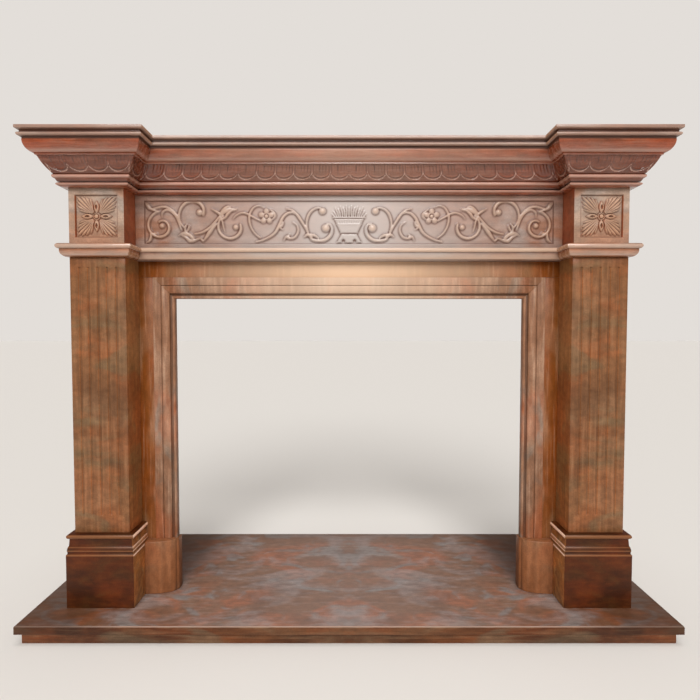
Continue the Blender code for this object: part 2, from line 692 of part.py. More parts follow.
def build_frieze_panel():
    """Build the frieze panel with its sunk field, scrolls, flowers and basket."""
    half = BLOCK_INNER - FIT_GAP
    top = FRIEZE_BOTTOM + FRIEZE_HEIGHT
    field_top = top - RAIL_TOP
    field_bottom = FRIEZE_BOTTOM + RAIL_BOTTOM
    field_half = half - STILE_WIDTH
    blank = block_mesh(-half, half, FRIEZE_Y, WALL_Y, FRIEZE_BOTTOM, top)
    panel = finish_piece("frieze_panel", blank, "frieze")
    cutter = bmesh.new()
    rings = []
    for splay, y in ((FIELD_SPLAY * 2, FRIEZE_Y - FIELD_SINK), (0.0, FRIEZE_Y + FIELD_SINK)):
        left, right = -field_half - splay, field_half + splay
        low, high = field_bottom - splay, field_top + splay
        rings.append([cutter.verts.new((x, y, z)) for x, z in
                      ((left, low), (right, low), (right, high), (left, high))])
    for index in range(4):
        after = (index + 1) % 4
        cutter.faces.new((rings[0][index], rings[0][after], rings[1][after], rings[1][index]))
    cutter.faces.new(rings[0])
    cutter.faces.new(rings[1])
    boolean(panel, guide("frieze_field", cutter), "DIFFERENCE")
    carving = bmesh.new()
    middle = (field_top + field_bottom) / 2
    plane = FRIEZE_Y + FIELD_SINK
    drawn_side, drawn_foot = drawing_reach()
    across = (field_half - CARVING_END_GAP) / drawn_side
    up = ((field_top - field_bottom) / 2 - CARVING_FOOT_GAP) / drawn_foot
    for sign in (-1, 1):
        place = relief_place(0.0, middle, plane, sign * across, up)
        for centre, start, end, angle, sweep, steps in VOLUTES:
            points = volute(centre, start, end, angle, sweep, steps)
            add_stem(carving, place, points, STEM_WIDTH, STEM_TIP_WIDTH, RELIEF_HEIGHT)
        for knots in STEMS:
            run = smooth_run(knots, STEM_STEPS)
            add_stem(carving, place, run, STEM_TIP_WIDTH, STEM_WIDTH, RELIEF_HEIGHT * STEM_HEIGHT_SHARE)
        for centre, radius in BALLS:
            add_round(carving, place, centre, radius, 7, RELIEF_HEIGHT * BALL_HEIGHT_SHARE)
        for base, tip, width in LEAVES:
            add_leaf(carving, place, base, tip, width, RELIEF_HEIGHT * BLADE_HEIGHT_SHARE)
        petals = petal_ring(FLOWER_CENTRE, FLOWER_RADIUS * FLOWER_WAIST, FLOWER_RADIUS, 5)
        crown = shrink(petals, PETAL_CROWN)
        add_raised(carving, place, petals, crown, RELIEF_HEIGHT * PETAL_HEIGHT_SHARE)
        eye = FLOWER_RADIUS * FLOWER_EYE
        add_round(carving, place, FLOWER_CENTRE, eye, 8, RELIEF_HEIGHT * EYE_HEIGHT_SHARE)
    carve_basket(carving, relief_place(0.0, middle, plane, across, up))
    boolean(panel, guide("frieze_carving", carving), "UNION")


def build_frieze_block(name, sign):
    """Build a frieze block with its sunk square and eight-leaf rosette."""
    centre = sign * PILASTER_CENTRE
    half = BLOCK_WIDTH / 2
    top = FRIEZE_BOTTOM + FRIEZE_HEIGHT
    bm = block_mesh(centre - half, centre + half, FACE_Y, WALL_Y, FRIEZE_BOTTOM, top)
    front = [face for face in bm.faces if face.normal.y < -0.5]
    bmesh.ops.inset_region(bm, faces=front, thickness=(BLOCK_WIDTH - SQUARE_SIZE) / 2, depth=0.0)
    bmesh.ops.inset_region(bm, faces=front, thickness=SQUARE_SINK * 0.5, depth=-SQUARE_SINK)
    block = finish_piece(name, bm, "frieze")
    carving = bmesh.new()
    place = relief_place(centre, (top + FRIEZE_BOTTOM) / 2, FACE_Y + SQUARE_SINK)
    reach = SQUARE_SIZE / 2 - SQUARE_SINK
    for quarter in range(4):
        for first, start, end, width, stations, height in ROSETTE_LEAVES:
            angle = math.radians(first + 90 * quarter)
            turn = Vector((math.cos(angle), math.sin(angle))) * reach
            raised = ROSETTE_RELIEF * (height + OVERLAP_STEP * quarter)
            add_leaf(carving, place, turn * start, turn * end, reach * width, raised, stations)
    add_round(carving, place, (0.0, 0.0), reach * ROSETTE_BOSS, 10, ROSETTE_RELIEF * ROSETTE_BOSS_HEIGHT)
    boolean(block, guide(f"rosette_{name}", carving), "UNION")


def leaf_stops(length):
    """Return (share of the run, place across a leaf) for one straight run of the band.

    Whole leaves are centred on the run, and a corner leaf is left over, half on each run.
    """
    count = max(1, int((length - 2 * CORNER_LEAF) / LEAF_PITCH))
    pitch = min(LEAF_PITCH, length * SHORT_RUN_SHARE / count)
    start = (length - pitch * count) / 2
    stops = [(0.0, 0.5), (start / 2, 0.75)]
    for leaf in range(count):
        stops += [(start + pitch * (leaf + k / LEAF_SAMPLES), k / LEAF_SAMPLES)
                  for k in range(LEAF_SAMPLES)]
    stops += [(length - start, 0.0), (length - start / 2, 0.25), (length, 0.5)]
    return [(place / length, phase) for place, phase in stops]


def leaf_swell(phase, level):
    """Return how far a leaf stands out, from its place across (0 to 1) and up the band (0 to 1)."""
    across = abs(2 * phase - 1)
    if level <= LEAF_TIP + LEAF_TIP_CURVE * across ** 2:
        return 0.0
    round_over = LEAF_EDGE_SHARE + (1 - LEAF_EDGE_SHARE) * math.sqrt(1 - across ** 2)
    return LEAF_RELIEF * round_over * (LEAF_ROOT_SWELL - LEAF_HEAD_LOSS * level)


def band_ring(bm, plan, projection, height, level):
    """Make one ring of the leaf band, and return its chain of vertices along each run."""
    corners = [Vector((x, y, height)) for x, y in plan(projection)]
    middle = [Vector((x, y, height)) for x, y in plan((BAND_FOOT_PROJECTION + BAND_HEAD_PROJECTION) / 2)]
    outs = []
    for start, end in zip(corners, corners[1:]):
        run = (end - start).normalized()
        outs.append(Vector((-run.y, run.x, 0.0)))
    swell = leaf_swell(0.5, level)
    made = []
    for index, corner in enumerate(corners):
        beside = outs[max(index - 1, 0):index + 1]
        made.append(bm.verts.new(corner + sum(beside, Vector()) * swell))
    chains = []
    for index, out in enumerate(outs):
        stops = leaf_stops((middle[index + 1] - middle[index]).length)[1:-1]
        run = corners[index + 1] - corners[index]
        inner = [bm.verts.new(corners[index] + run * share + out * leaf_swell(phase, level))
                 for share, phase in stops]
        chains.append([made[index], *inner, made[index + 1]])
    return chains


def add_leaf_band(bm, plan, lower, upper, foot, head):
    """Join the band's rings of leaves between a plain ring below and one above."""
    levels = [step / BAND_LEVELS for step in range(BAND_LEVELS + 1)]
    rings = []
    for level in levels:
        bulge = BAND_BULGE * math.sin(math.pi * level)
        projection = BAND_FOOT_PROJECTION + (BAND_HEAD_PROJECTION - BAND_FOOT_PROJECTION) * level + bulge
        rings.append(band_ring(bm, plan, projection, foot + (head - foot) * level, level))
    for below, above in zip(rings, rings[1:]):
        for low, high in zip(below, above):
            for index in range(len(low) - 1):
                bm.faces.new((low[index], low[index + 1], high[index + 1], high[index]))
        bm.faces.new((below[-1][-1], below[0][0], above[0][0], above[-1][-1]))
    for plain, ring in ((lower, rings[0]), (upper, rings[-1])):
        for index, chain in enumerate(ring):
            bm.faces.new((plain[index], plain[index + 1], *reversed(chain)))
        bm.faces.new((plain[-1], plain[0], ring[0][0], ring[-1][-1]))


def bed_profiles():
    """Return the bed moulding's profile below the leaf band, and above it."""
    neck = BED_BOTTOM + BED_BEAD_LOW
    high = neck + BED_NECK
    foot = high + BED_BEAD_HIGH
    head = foot + BED_BAND_HEIGHT
    ovolo = head + BED_FILLET
    top = BED_BOTTOM + BED_HEIGHT
    root = BED_HIGH_PROJECTION - BED_HIGH_STEP
    below = bead(BED_ROOT_PROJECTION, BED_LOW_PROJECTION, BED_BOTTOM, BED_BEAD_LOW, 5)[:-1]
    below += [(BED_LOW_PROJECTION - BED_LOW_STEP, neck), (root, high)]
    below += bead(root, BED_HIGH_PROJECTION, high, BED_BEAD_HIGH, 4)[1:]
    above = [(OVOLO_FOOT_PROJECTION, head), (OVOLO_FOOT_PROJECTION, ovolo)]
    swell = OVOLO_HEAD_PROJECTION - OVOLO_FOOT_PROJECTION
    above += arc((OVOLO_FOOT_PROJECTION, top), (swell, top - ovolo), -78, 0, 6)
    return below, above, foot, head


def build_bed_moulding():
    """Build the bed moulding: beads, the band of leaves, and the ovolo under the shelf."""
    plan = broken_plan(BLOCK_OUTER, BLOCK_INNER, FACE_Y, FRIEZE_SETBACK, WALL_Y)
    below, above, foot, head = bed_profiles()
    bm = bmesh.new()
    lower = ring_stack(bm, plan, below)
    upper = ring_stack(bm, plan, above)
    add_leaf_band(bm, plan, lower[-1], upper[0], foot, head)
    bm.faces.new(lower[0])
    bm.faces.new(upper[-1])
    finish_piece("bed_moulding", bm, "bed")


def build_shelf():
    """Build the shelf: a bead, a groove and a square fillet round a flat top."""
    plan = broken_plan(BLOCK_OUTER, BLOCK_INNER, FACE_Y, FRIEZE_SETBACK, WALL_Y)
    top = SHELF_BOTTOM + SHELF_HEIGHT
    fillet = top - SHELF_FILLET
    groove = fillet - SHELF_GROOVE
    bead_bottom = groove - SHELF_BEAD
    seat = SHELF_GROOVE_PROJECTION - SHELF_SEAT_STEP
    profile = [(seat, SHELF_BOTTOM), (seat, bead_bottom)]
    profile += bead(SHELF_GROOVE_PROJECTION, SHELF_BEAD_PROJECTION, bead_bottom, SHELF_BEAD, 5)
    profile += [(SHELF_GROOVE_PROJECTION, fillet - SHELF_QUIRK), (SHELF_PROJECTION, fillet)]
    profile += [(SHELF_PROJECTION, top - SHELF_ARRIS), (SHELF_PROJECTION - SHELF_ARRIS, top)]
    course("shelf", "shelf", plan, profile)


def build_mantel():
    """Build every piece, from the floor up."""
    build_hearth()
    for side, sign in (("left", -1), ("right", 1)):
        centre = sign * PILASTER_CENTRE
        shaft_plan = box_plan(centre - SHAFT_WIDTH / 2, centre + SHAFT_WIDTH / 2, FACE_Y, WALL_Y)
        course(f"plinth_{side}", "plinth", plinth_plan(sign), plinth_profile())
        build_foot(f"foot_block_{side}", sign)
        build_shaft(f"shaft_{side}", sign)
        course(f"impost_{side}", "shaft", shaft_plan, impost_profile())
        build_frieze_block(f"frieze_block_{side}", sign)
    build_slips()
    build_architrave()
    between = fitted_plan(SHAFT_INNER - FIT_GAP, FRIEZE_Y, WALL_Y)
    course("frieze_moulding", "frieze", between, impost_profile())
    build_frieze_panel()
    build_bed_moulding()
    build_shelf()


clear_scene()
build_mantel()
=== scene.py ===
"""Looks of a polished stone fireplace mantel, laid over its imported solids.

Every piece of the mantel is rebuilt on the place of its solid with eased arrises, finer
mouldings and the full carving, and is dressed in a clouded red-brown marble. Metres, +Z up,
front along -Y. Pieces ride on the one body of the mantel and stand for its nodes.
"""
from __future__ import annotations

import logging
import math
from dataclasses import dataclass, field
from enum import Enum
from typing import Callable, ClassVar, Sequence

import bmesh
import bpy
import numpy as np
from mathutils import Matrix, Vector

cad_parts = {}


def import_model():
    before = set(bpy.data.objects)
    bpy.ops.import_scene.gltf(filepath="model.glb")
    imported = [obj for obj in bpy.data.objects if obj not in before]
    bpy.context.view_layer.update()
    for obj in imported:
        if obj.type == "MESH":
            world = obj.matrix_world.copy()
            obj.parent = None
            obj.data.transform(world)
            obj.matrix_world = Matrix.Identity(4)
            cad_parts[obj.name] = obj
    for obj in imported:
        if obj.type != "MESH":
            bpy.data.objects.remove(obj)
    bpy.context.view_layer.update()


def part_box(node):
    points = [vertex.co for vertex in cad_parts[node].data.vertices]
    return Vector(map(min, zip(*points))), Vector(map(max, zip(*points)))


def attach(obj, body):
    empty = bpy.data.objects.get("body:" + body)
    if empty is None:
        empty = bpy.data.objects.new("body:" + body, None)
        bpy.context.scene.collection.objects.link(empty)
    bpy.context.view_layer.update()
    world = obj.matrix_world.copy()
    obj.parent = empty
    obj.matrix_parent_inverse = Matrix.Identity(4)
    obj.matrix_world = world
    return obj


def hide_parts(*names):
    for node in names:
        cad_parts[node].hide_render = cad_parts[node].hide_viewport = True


log = logging.getLogger("mantel")

BODY = "root"
JOINT = 0.0003

Point = tuple[float, float]
Place = tuple[float, float, float]
Colour = tuple[float, float, float]
Plan = Callable[[float], list[Point]]
Marks = Callable[[Vector], dict[str, float]]
Mesh = bmesh.types.BMesh
Socket = bpy.types.NodeSocket
Tree = bpy.types.NodeTree


def shade(red: int, green: int, blue: int) -> Colour:
    """Turn a colour given as 0 to 255 screen values into linear light.

    Args:
        red: Red, 0 to 255.
        green: Green, 0 to 255.
        blue: Blue, 0 to 255.

    Returns:
        The colour as linear red, green and blue.
    """
    def linear(value: int) -> float:
        """Return one channel as linear light."""
        part = value / 255
        return part / 12.92 if part <= 0.04045 else ((part + 0.055) / 1.055) ** 2.4
    return linear(red), linear(green), linear(blue)


def node(tree: Tree, kind: str, given: dict[str | int, object], out: str | int = 0,
         **settings: object) -> Socket:
    """Add a shader node, set it and link it.

    Args:
        tree: The nodes that it joins.
        kind: Its type.
        given: What each of its inputs gets, a socket to be linked or a plain value.
        out: The output that is wanted.
        settings: Its own settings, by name.

    Returns:
        The wanted output.
    """
    made = tree.nodes.new(kind)
    for name, value in settings.items():
        setattr(made, name, value)
    for key, value in given.items():
        if isinstance(value, Socket):
            tree.links.new(value, made.inputs[key])
        else:
            made.inputs[key].default_value = value
    return made.outputs[out]


class Side(Enum):
    """The two pilasters, by which way they lie from the middle."""

    LEFT = -1
    RIGHT = 1

    @property
    def word(self) -> str:
        """Return the side's name as the nodes write it."""
        return self.name.lower()


class Grain(Enum):
    """Which way the stone runs on a piece: the stretch of its clouds, then of its streaks."""

    UPRIGHT = ((1.0, 1.0, 0.50), (1.0, 1.0, 0.05))
    SMOKY = ((0.8, 1.0, 1.15), (1.0, 1.0, 0.05))
    LEVEL = ((0.45, 1.0, 1.0), (0.07, 1.0, 1.0))
    BED = ((0.65, 1.0, 1.0), (0.16, 1.0, 1.0))


class Polish(Enum):
    """How far a piece is polished: its mirror strength, roughness and clear top sheen."""

    HONED = (0.20, 0.42, 0.05)
    SATIN = (0.35, 0.34, 0.25)
    BRIGHT = (0.50, 0.26, 0.60)


@dataclass(frozen=True)
class Box:
    """The room that a node takes."""

    left: float
    right: float
    front: float
    back: float
    bottom: float
    top: float

    @classmethod
    def of(cls, name: str) -> Box:
        """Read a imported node's box.

        Args:
            name: The node's name.

        Returns:
            Its box.
        """
        low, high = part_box(name)
        return cls(low.x, high.x, low.y, high.y, low.z, high.z)

    @property
    def size(self) -> Place:
        """Return its width, depth and height."""
        return self.right - self.left, self.back - self.front, self.top - self.bottom

    @property
    def middle(self) -> Place:
        """Return its middle."""
        return ((self.left + self.right) / 2, (self.front + self.back) / 2,
                (self.bottom + self.top) / 2)


class PatternGroup:
    """The marble's pattern as one node group, shared by every finish."""

    NAME = "marble_pattern"
    COLOURS = ("Base", "Rust", "Slate", "Umber", "Pale")
    SHARES = (("Rust Share", 0.5), ("Slate Share", 0.3), ("Umber Share", 0.3),
              ("Pale Share", 0.0), ("Streak", 0.2), ("Cloud Size", 5.0))
    # Each colour laid over the base: where its field is shifted to, how fine the field is, its
    # finer layers and twist, and the values between which the colour comes in.
    CLOUDS = (
        ("Rust", (0.0, 0.0, 0.0), 1.0, 5, 0.9, (0.44, 0.62)),
        ("Umber", (9.4, 2.2, 5.3), 0.8, 6, 0.8, (0.48, 0.66)),
        ("Slate", (3.1, 7.7, 1.9), 1.35, 7, 1.3, (0.50, 0.66)),
        ("Pale", (1.7, 4.9, 8.8), 1.1, 6, 0.8, (0.46, 0.64)),
    )
    # Each colour of the streaks and the values between which it comes in.
    STREAKS = (("Umber", (0.56, 0.36)), ("Pale", (0.52, 0.72)))
    STREAK_SCALE, STREAK_LAYERS, STREAK_TWIST = 95.0, 5, 0.4
    MOTTLE_SCALE, MOTTLE_LAYERS, MOTTLE_TWIST, MOTTLE_STRENGTH = 55.0, 8, 0.15, 0.20
    SPECK_SCALE, SPECK_LAYERS, SPECK_STRENGTH = 260.0, 3, 0.12
    VARIED_FROM, VARIED_TO = 0.30, 0.70

    def __init__(self) -> None:
        """Start with no group made."""
        self.tree: Tree | None = None

    def get(self) -> Tree:
        """Return the group, made once.

        Returns:
            The node group.
        """
        if self.tree is None:
            self.tree = self.build()
        return self.tree

    def noise(self, place: Socket, scale: float | Socket, layers: int, twist: float) -> Socket:
        """Add a noise field of values from 0 to 1, of a set or linked scale."""
        return node(self.tree, "ShaderNodeTexNoise", {
            "Vector": place, "Scale": scale, "Detail": layers, "Distortion": twist}, "Fac")

    def band(self, value: Socket, ends: Point) -> Socket:
        """Spread a stretch of a field out to 0 to 1, with soft ends.

        Args:
            value: The field.
            ends: The values that become 0 and 1.

        Returns:
            The spread value.
        """
        return node(self.tree, "ShaderNodeMapRange", {
            "Value": value, "From Min": ends[0], "From Max": ends[1]}, "Result",
            interpolation_type="SMOOTHSTEP")

    def times(self, first: Socket, second: Socket | float) -> Socket:
        """Multiply two values."""
        return node(self.tree, "ShaderNodeMath", {0: first, 1: second}, operation="MULTIPLY")

    def mixed(self, factor: Socket, under: Socket, over: Socket) -> Socket:
        """Lay one colour over another by a mask."""
        return node(self.tree, "ShaderNodeMix", {"Factor": factor, "A": under, "B": over},
                    "Result", data_type="RGBA")

    def varied(self, colour: Socket, value: Socket, strength: float) -> Socket:
        """Darken and lighten a colour by a fine field.

        Args:
            colour: The colour.
            value: The field.
            strength: How far it goes either way.

        Returns:
            The varied colour.
        """
        amount = node(self.tree, "ShaderNodeMapRange", {
            "Value": value, "From Min": self.VARIED_FROM, "From Max": self.VARIED_TO,
            "To Min": 1 - strength, "To Max": 1 + strength}, "Result")
        return node(self.tree, "ShaderNodeVectorMath", {0: colour, "Scale": amount}, "Vector",
                    operation="SCALE")

    def build(self) -> Tree:
        """Build the group: clouds, patches, streaks, mottling and specks.

        Returns:
            The node group.
        """
        tree = bpy.data.node_groups.new(self.NAME, "ShaderNodeTree")
        self.tree = tree
        face = tree.interface
        for name in ("Place", "Clouds", "Flow"):
            face.new_socket(name, in_out="INPUT", socket_type="NodeSocketVector")
        for name in self.COLOURS:
            face.new_socket(name, in_out="INPUT", socket_type="NodeSocketColor")
        for name, value in self.SHARES:
            made = face.new_socket(name, in_out="INPUT", socket_type="NodeSocketFloat")
            made.default_value = value
        face.new_socket("Color", in_out="OUTPUT", socket_type="NodeSocketColor")
        face.new_socket("Streaks", in_out="OUTPUT", socket_type="NodeSocketFloat")
        given = tree.nodes.new("NodeGroupInput").outputs
        colour = given["Base"]
        for name, shift, scale, layers, twist, ends in self.CLOUDS:
            place = node(tree, "ShaderNodeMapping", {"Vector": given["Clouds"], "Location": shift})
            size = self.times(given["Cloud Size"], scale)
            shown = self.band(self.noise(place, size, layers, twist), ends)
            colour = self.mixed(self.times(shown, given[f"{name} Share"]), colour, given[name])
        streaks = self.noise(given["Flow"], self.STREAK_SCALE, self.STREAK_LAYERS,
                             self.STREAK_TWIST)
        for name, ends in self.STREAKS:
            shown = self.times(self.band(streaks, ends), given["Streak"])
            colour = self.mixed(shown, colour, given[name])
        specks = self.noise(given["Place"], self.SPECK_SCALE, self.SPECK_LAYERS, 0.0)
        mottle = self.noise(given["Clouds"], self.MOTTLE_SCALE, self.MOTTLE_LAYERS,
                            self.MOTTLE_TWIST)
        colour = self.varied(colour, specks, self.SPECK_STRENGTH)
        colour = self.varied(colour, mottle, self.MOTTLE_STRENGTH)
        out = tree.nodes.new("NodeGroupOutput").inputs
        tree.links.new(colour, out["Color"])
        tree.links.new(streaks, out["Streaks"])
        return tree


PATTERN = PatternGroup()


@dataclass(frozen=True)
class Marble:
    """One finish of the marble, as it was picked and polished for a course."""

    # Where the paler middle, partly painted light, starts; the ranges of the marks over which the
    # painted highlight on crests and the painted light and shade on side faces come in.
    CENTRE_START: ClassVar[float] = 0.05
    CREST_RANGE: ClassVar[Point] = (0.15, 0.75)
    RETURNS_RANGE: ClassVar[Point] = (0.6, 0.9)
    STREAK_RANGE: ClassVar[Point] = (0.3, 0.7)
    SMOOTHER: ClassVar[float] = 0.05
    ROUGHER: ClassVar[float] = 0.07
    # How far the umber is darkened for the painted shade in hollows.
    GRIME: ClassVar[float] = 0.5
    SHEEN_ROUGHNESS: ClassVar[float] = 0.14
    BUMP_STRENGTH: ClassVar[float] = 0.05
    BUMP_DEPTH: ClassVar[float] = 0.0015

    name: str
    base: Colour
    rust: Colour
    slate: Colour
    umber: Colour
    pale: Colour
    grain: Grain = Grain.LEVEL
    # The shares of rust, slate, umber and pale, the strength of the streaks, and how many
    # clouds there are to the metre.
    shares: tuple[float, ...] = (0.6, 0.3, 0.4, 0.2, 0.25, 6.0)
    # A paler middle, partly in the stone and partly painted light on the middle, and how far out it
    # reaches.
    centre_pale: float = 0.0
    centre_reach: float = 0.62
    # The strength of the painted shade in hollows, the colour and share of the painted highlight on
    # crests, and the tint and share of the painted light and shade on side faces.
    hollow_dark: float = 0.75
    crest: Colour | None = None
    crest_share: float = 0.7
    returns: Colour | None = None
    returns_share: float = 0.8
    polish: Polish = Polish.HONED
    offset: Place = (0.0, 0.0, 0.0)

    def material(self) -> bpy.types.Material:
        """Return the finish's material, made once."""
        found = bpy.data.materials.get(self.name)
        return found if found else self.build()

    @staticmethod
    def place(tree: Tree) -> tuple[Socket, Socket]:
        """Read the place on the stone, book-matched about the middle.

        Args:
            tree: The material's nodes.

        Returns:
            The matched place and the distance from the middle.
        """
        split = tree.nodes.new("ShaderNodeSeparateXYZ")
        tree.links.new(node(tree, "ShaderNodeTexCoord", {}, "Object"), split.inputs[0])
        x, y, z = split.outputs
        away = node(tree, "ShaderNodeMath", {0: x}, operation="ABSOLUTE")
        return node(tree, "ShaderNodeCombineXYZ", {"X": away, "Y": y, "Z": z}), away

    @staticmethod
    def mark(tree: Tree, name: str) -> Socket:
        """Read a value that the mesh carries."""
        return node(tree, "ShaderNodeAttribute", {}, "Fac", attribute_name=name)

    @staticmethod
    def laid(tree: Tree, factor: Socket, under: Socket, over: Sequence[float],
             blend: str = "MIX") -> Socket:
        """Lay a plain colour over the stone by a mask.

        Args:
            tree: The material's nodes.
            factor: The mask.
            under: The stone's colour.
            over: The plain colour.
            blend: The way the two mix.

        Returns:
            The mixed colour.
        """
        return node(tree, "ShaderNodeMix", {"Factor": factor, "A": under, "B": (*over, 1.0)},
                    "Result", data_type="RGBA", blend_type=blend)

    @staticmethod
    def ranged(tree: Tree, value: Socket, source: Point, target: Point) -> Socket:
        """Map a value from one range to another, held at its ends.

        Args:
            tree: The material's nodes.
            value: The value.
            source: The range it has.
            target: The range it gets.

        Returns:
            The mapped value.
        """
        return node(tree, "ShaderNodeMapRange", {
            "Value": value, "From Min": source[0], "From Max": source[1], "To Min": target[0],
            "To Max": target[1]}, "Result")

    def stone(self, tree: Tree) -> tuple[Socket, Socket]:
        """Lay the shared pattern in the finish's own colours, with its middle paler: partly in the
        stone, partly painted light.

        Args:
            tree: The material's nodes.

        Returns:
            The colour, and the streaks as values.
        """
        place, away = self.place(tree)
        pattern = tree.nodes.new("ShaderNodeGroup")
        pattern.node_tree = PATTERN.get()
        tree.links.new(place, pattern.inputs["Place"])
        for socket, stretch in zip(("Clouds", "Flow"), self.grain.value):
            run = node(tree, "ShaderNodeMapping", {
                "Vector": place, "Location": self.offset, "Scale": stretch})
            tree.links.new(run, pattern.inputs[socket])
        colours = (self.base, self.rust, self.slate, self.umber, self.pale)
        for socket, colour in zip(PATTERN.COLOURS, colours):
            pattern.inputs[socket].default_value = (*colour, 1.0)
        for (socket, _), share in zip(PATTERN.SHARES, self.shares):
            pattern.inputs[socket].default_value = share
        colour = pattern.outputs["Color"]
        # A paler middle, partly painted light on the middle.
        if self.centre_pale > 0:
            near = self.ranged(tree, away, (self.CENTRE_START, self.centre_reach),
                               (self.centre_pale, 0.0))
            colour = self.laid(tree, near, colour, self.pale)
        return colour, pattern.outputs["Streaks"]

    def weathered(self, tree: Tree, colour: Socket) -> Socket:
        """Paint a highlight on the crests, light and shade on the side faces, and shade in the
        hollows.

        Args:
            tree: The material's nodes.
            colour: The stone's colour.

        Returns:
            The colour with its painted light and shade.
        """
        # Painted highlight on the crests.
        if self.crest:
            painted_highlight = self.ranged(tree, self.mark(tree, "crest"), self.CREST_RANGE,
                               (0.0, self.crest_share))
            colour = self.laid(tree, painted_highlight, colour, self.crest)
        # Painted light and shade on the side faces, as a tint of the base colour.
        if self.returns:
            turned = self.ranged(tree, self.mark(tree, "returns"), self.RETURNS_RANGE,
                                 (0.0, self.returns_share))
            painted_side_light = [new / old for new, old in zip(self.returns, self.base)]
            colour = self.laid(tree, turned, colour, painted_side_light, "MULTIPLY")
        # Painted shade in the hollows: the umber, darkened.
        depth = self.ranged(tree, self.mark(tree, "hollow"), (0.0, 1.0), (0.0, self.hollow_dark))
        return self.laid(tree, depth, colour, [part * self.GRIME for part in self.umber])

    def build(self) -> bpy.types.Material:
        """Build the material: the stone, its painted light and shade, and its polish.

        Returns:
            The material.
        """
        material = bpy.data.materials.new(self.name)
        material.use_nodes = True
        tree = material.node_tree
        shader = tree.nodes["Principled BSDF"]
        colour, streaks = self.stone(tree)
        tree.links.new(self.weathered(tree, colour), shader.inputs["Base Color"])
        mirror, roughness, sheen = self.polish.value
        wear_and_highlight = self.ranged(tree, streaks, self.STREAK_RANGE,
                           (roughness - self.SMOOTHER, roughness + self.ROUGHER))
        tree.links.new(wear_and_highlight, shader.inputs["Roughness"])
        shader.inputs["Specular IOR Level"].default_value = mirror
        shader.inputs["Coat Weight"].default_value = sheen
        shader.inputs["Coat Roughness"].default_value = self.SHEEN_ROUGHNESS
        bump = node(tree, "ShaderNodeBump", {
            "Height": streaks, "Strength": self.BUMP_STRENGTH, "Distance": self.BUMP_DEPTH})
        tree.links.new(bump, shader.inputs["Normal"])
        return material


# In each finish the crest colour is a painted highlight on crests, the returns colour a tint of
# painted light and shade on side faces, the hollow setting the strength of painted shade in
# hollows, and the paler middle partly painted light.
HEARTH_STONE = Marble(
    "hearth_marble", shade(132, 93, 68), shade(169, 97, 60), shade(134, 131, 128),
    shade(94, 59, 39), shade(160, 148, 144), Grain.BED, (0.7, 0.75, 0.6, 0.5, 0.24, 7.5),
    hollow_dark=0.9, centre_pale=0.3, centre_reach=0.75, offset=(0.4, 1.3, 0.0))
HEARTH_EDGE = Marble(
    "hearth_edge_marble", shade(103, 62, 35), shade(126, 63, 29), shade(109, 92, 71),
    shade(56, 28, 13), shade(147, 116, 87), Grain.LEVEL, (0.6, 0.5, 0.8, 0.2, 0.26, 7.0),
    crest=shade(186, 158, 142), crest_share=0.55, offset=(2.1, 0.2, 0.6))
PLINTH_STONE = Marble(
    "plinth_marble", shade(79, 35, 8), shade(96, 40, 9), shade(71, 46, 20), shade(46, 19, 5),
    shade(109, 61, 23), Grain.BED, (0.6, 0.5, 0.8, 0.15, 0.18, 9.0), returns=shade(186, 120, 66),
    crest=shade(158, 104, 66), crest_share=0.5, offset=(4.0, 0.9, 2.2))
FOOT_STONE = Marble(
    "foot_marble", shade(139, 87, 54), shade(151, 85, 49), shade(120, 97, 75), shade(103, 63, 40),
    shade(162, 115, 82), Grain.UPRIGHT, (0.5, 0.3, 0.4, 0.2, 0.18, 7.0), offset=(1.0, 6.9, 3.2))
SHAFT_STONE = Marble(
    "shaft_marble", shade(131, 88, 56), shade(151, 85, 47), shade(109, 92, 66), shade(86, 56, 35),
    shade(158, 119, 87), Grain.SMOKY, (0.5, 0.6, 0.55, 0.3, 0.30, 5.5),
    returns=shade(172, 108, 60), offset=(1.2, 3.4, 0.3))
IMPOST_STONE = Marble(
    "impost_marble", shade(150, 102, 72), shade(166, 96, 60), shade(128, 112, 96),
    shade(98, 62, 42), shade(184, 150, 126), Grain.LEVEL, (0.5, 0.4, 0.3, 0.3, 0.18, 7.0),
    returns=shade(150, 92, 54), polish=Polish.BRIGHT, crest=shade(222, 196, 178), crest_share=0.5,
    hollow_dark=0.92, offset=(2.6, 4.4, 1.7))
SLIP_STONE = Marble(
    "slip_marble", shade(122, 66, 22), shade(136, 68, 21), shade(109, 78, 38), shade(90, 50, 19),
    shade(226, 190, 158), Grain.UPRIGHT, (0.6, 0.35, 0.5, 0.08, 0.14, 6.0), centre_pale=0.95,
    centre_reach=0.60, offset=(0.9, 2.0, 4.1))
ARCHITRAVE_STONE = Marble(
    "architrave_marble", shade(140, 98, 71), shade(156, 84, 48), shade(125, 117, 106),
    shade(97, 61, 41), shade(222, 192, 166), Grain.UPRIGHT, (0.75, 0.7, 0.4, 0.2, 0.24, 6.0),
    centre_pale=0.8, centre_reach=0.56, hollow_dark=0.62, offset=(3.3, 0.6, 1.8))
FRIEZE_STONE = Marble(
    "frieze_marble", shade(144, 104, 82), shade(151, 92, 58), shade(137, 126, 118),
    shade(114, 56, 25), shade(193, 183, 177), Grain.LEVEL, (0.75, 0.5, 0.2, 0.3, 0.08, 6.0),
    centre_pale=0.85, centre_reach=0.58, crest=shade(218, 184, 158), crest_share=0.72,
    hollow_dark=0.85, polish=Polish.SATIN, offset=(0.2, 5.1, 2.7))
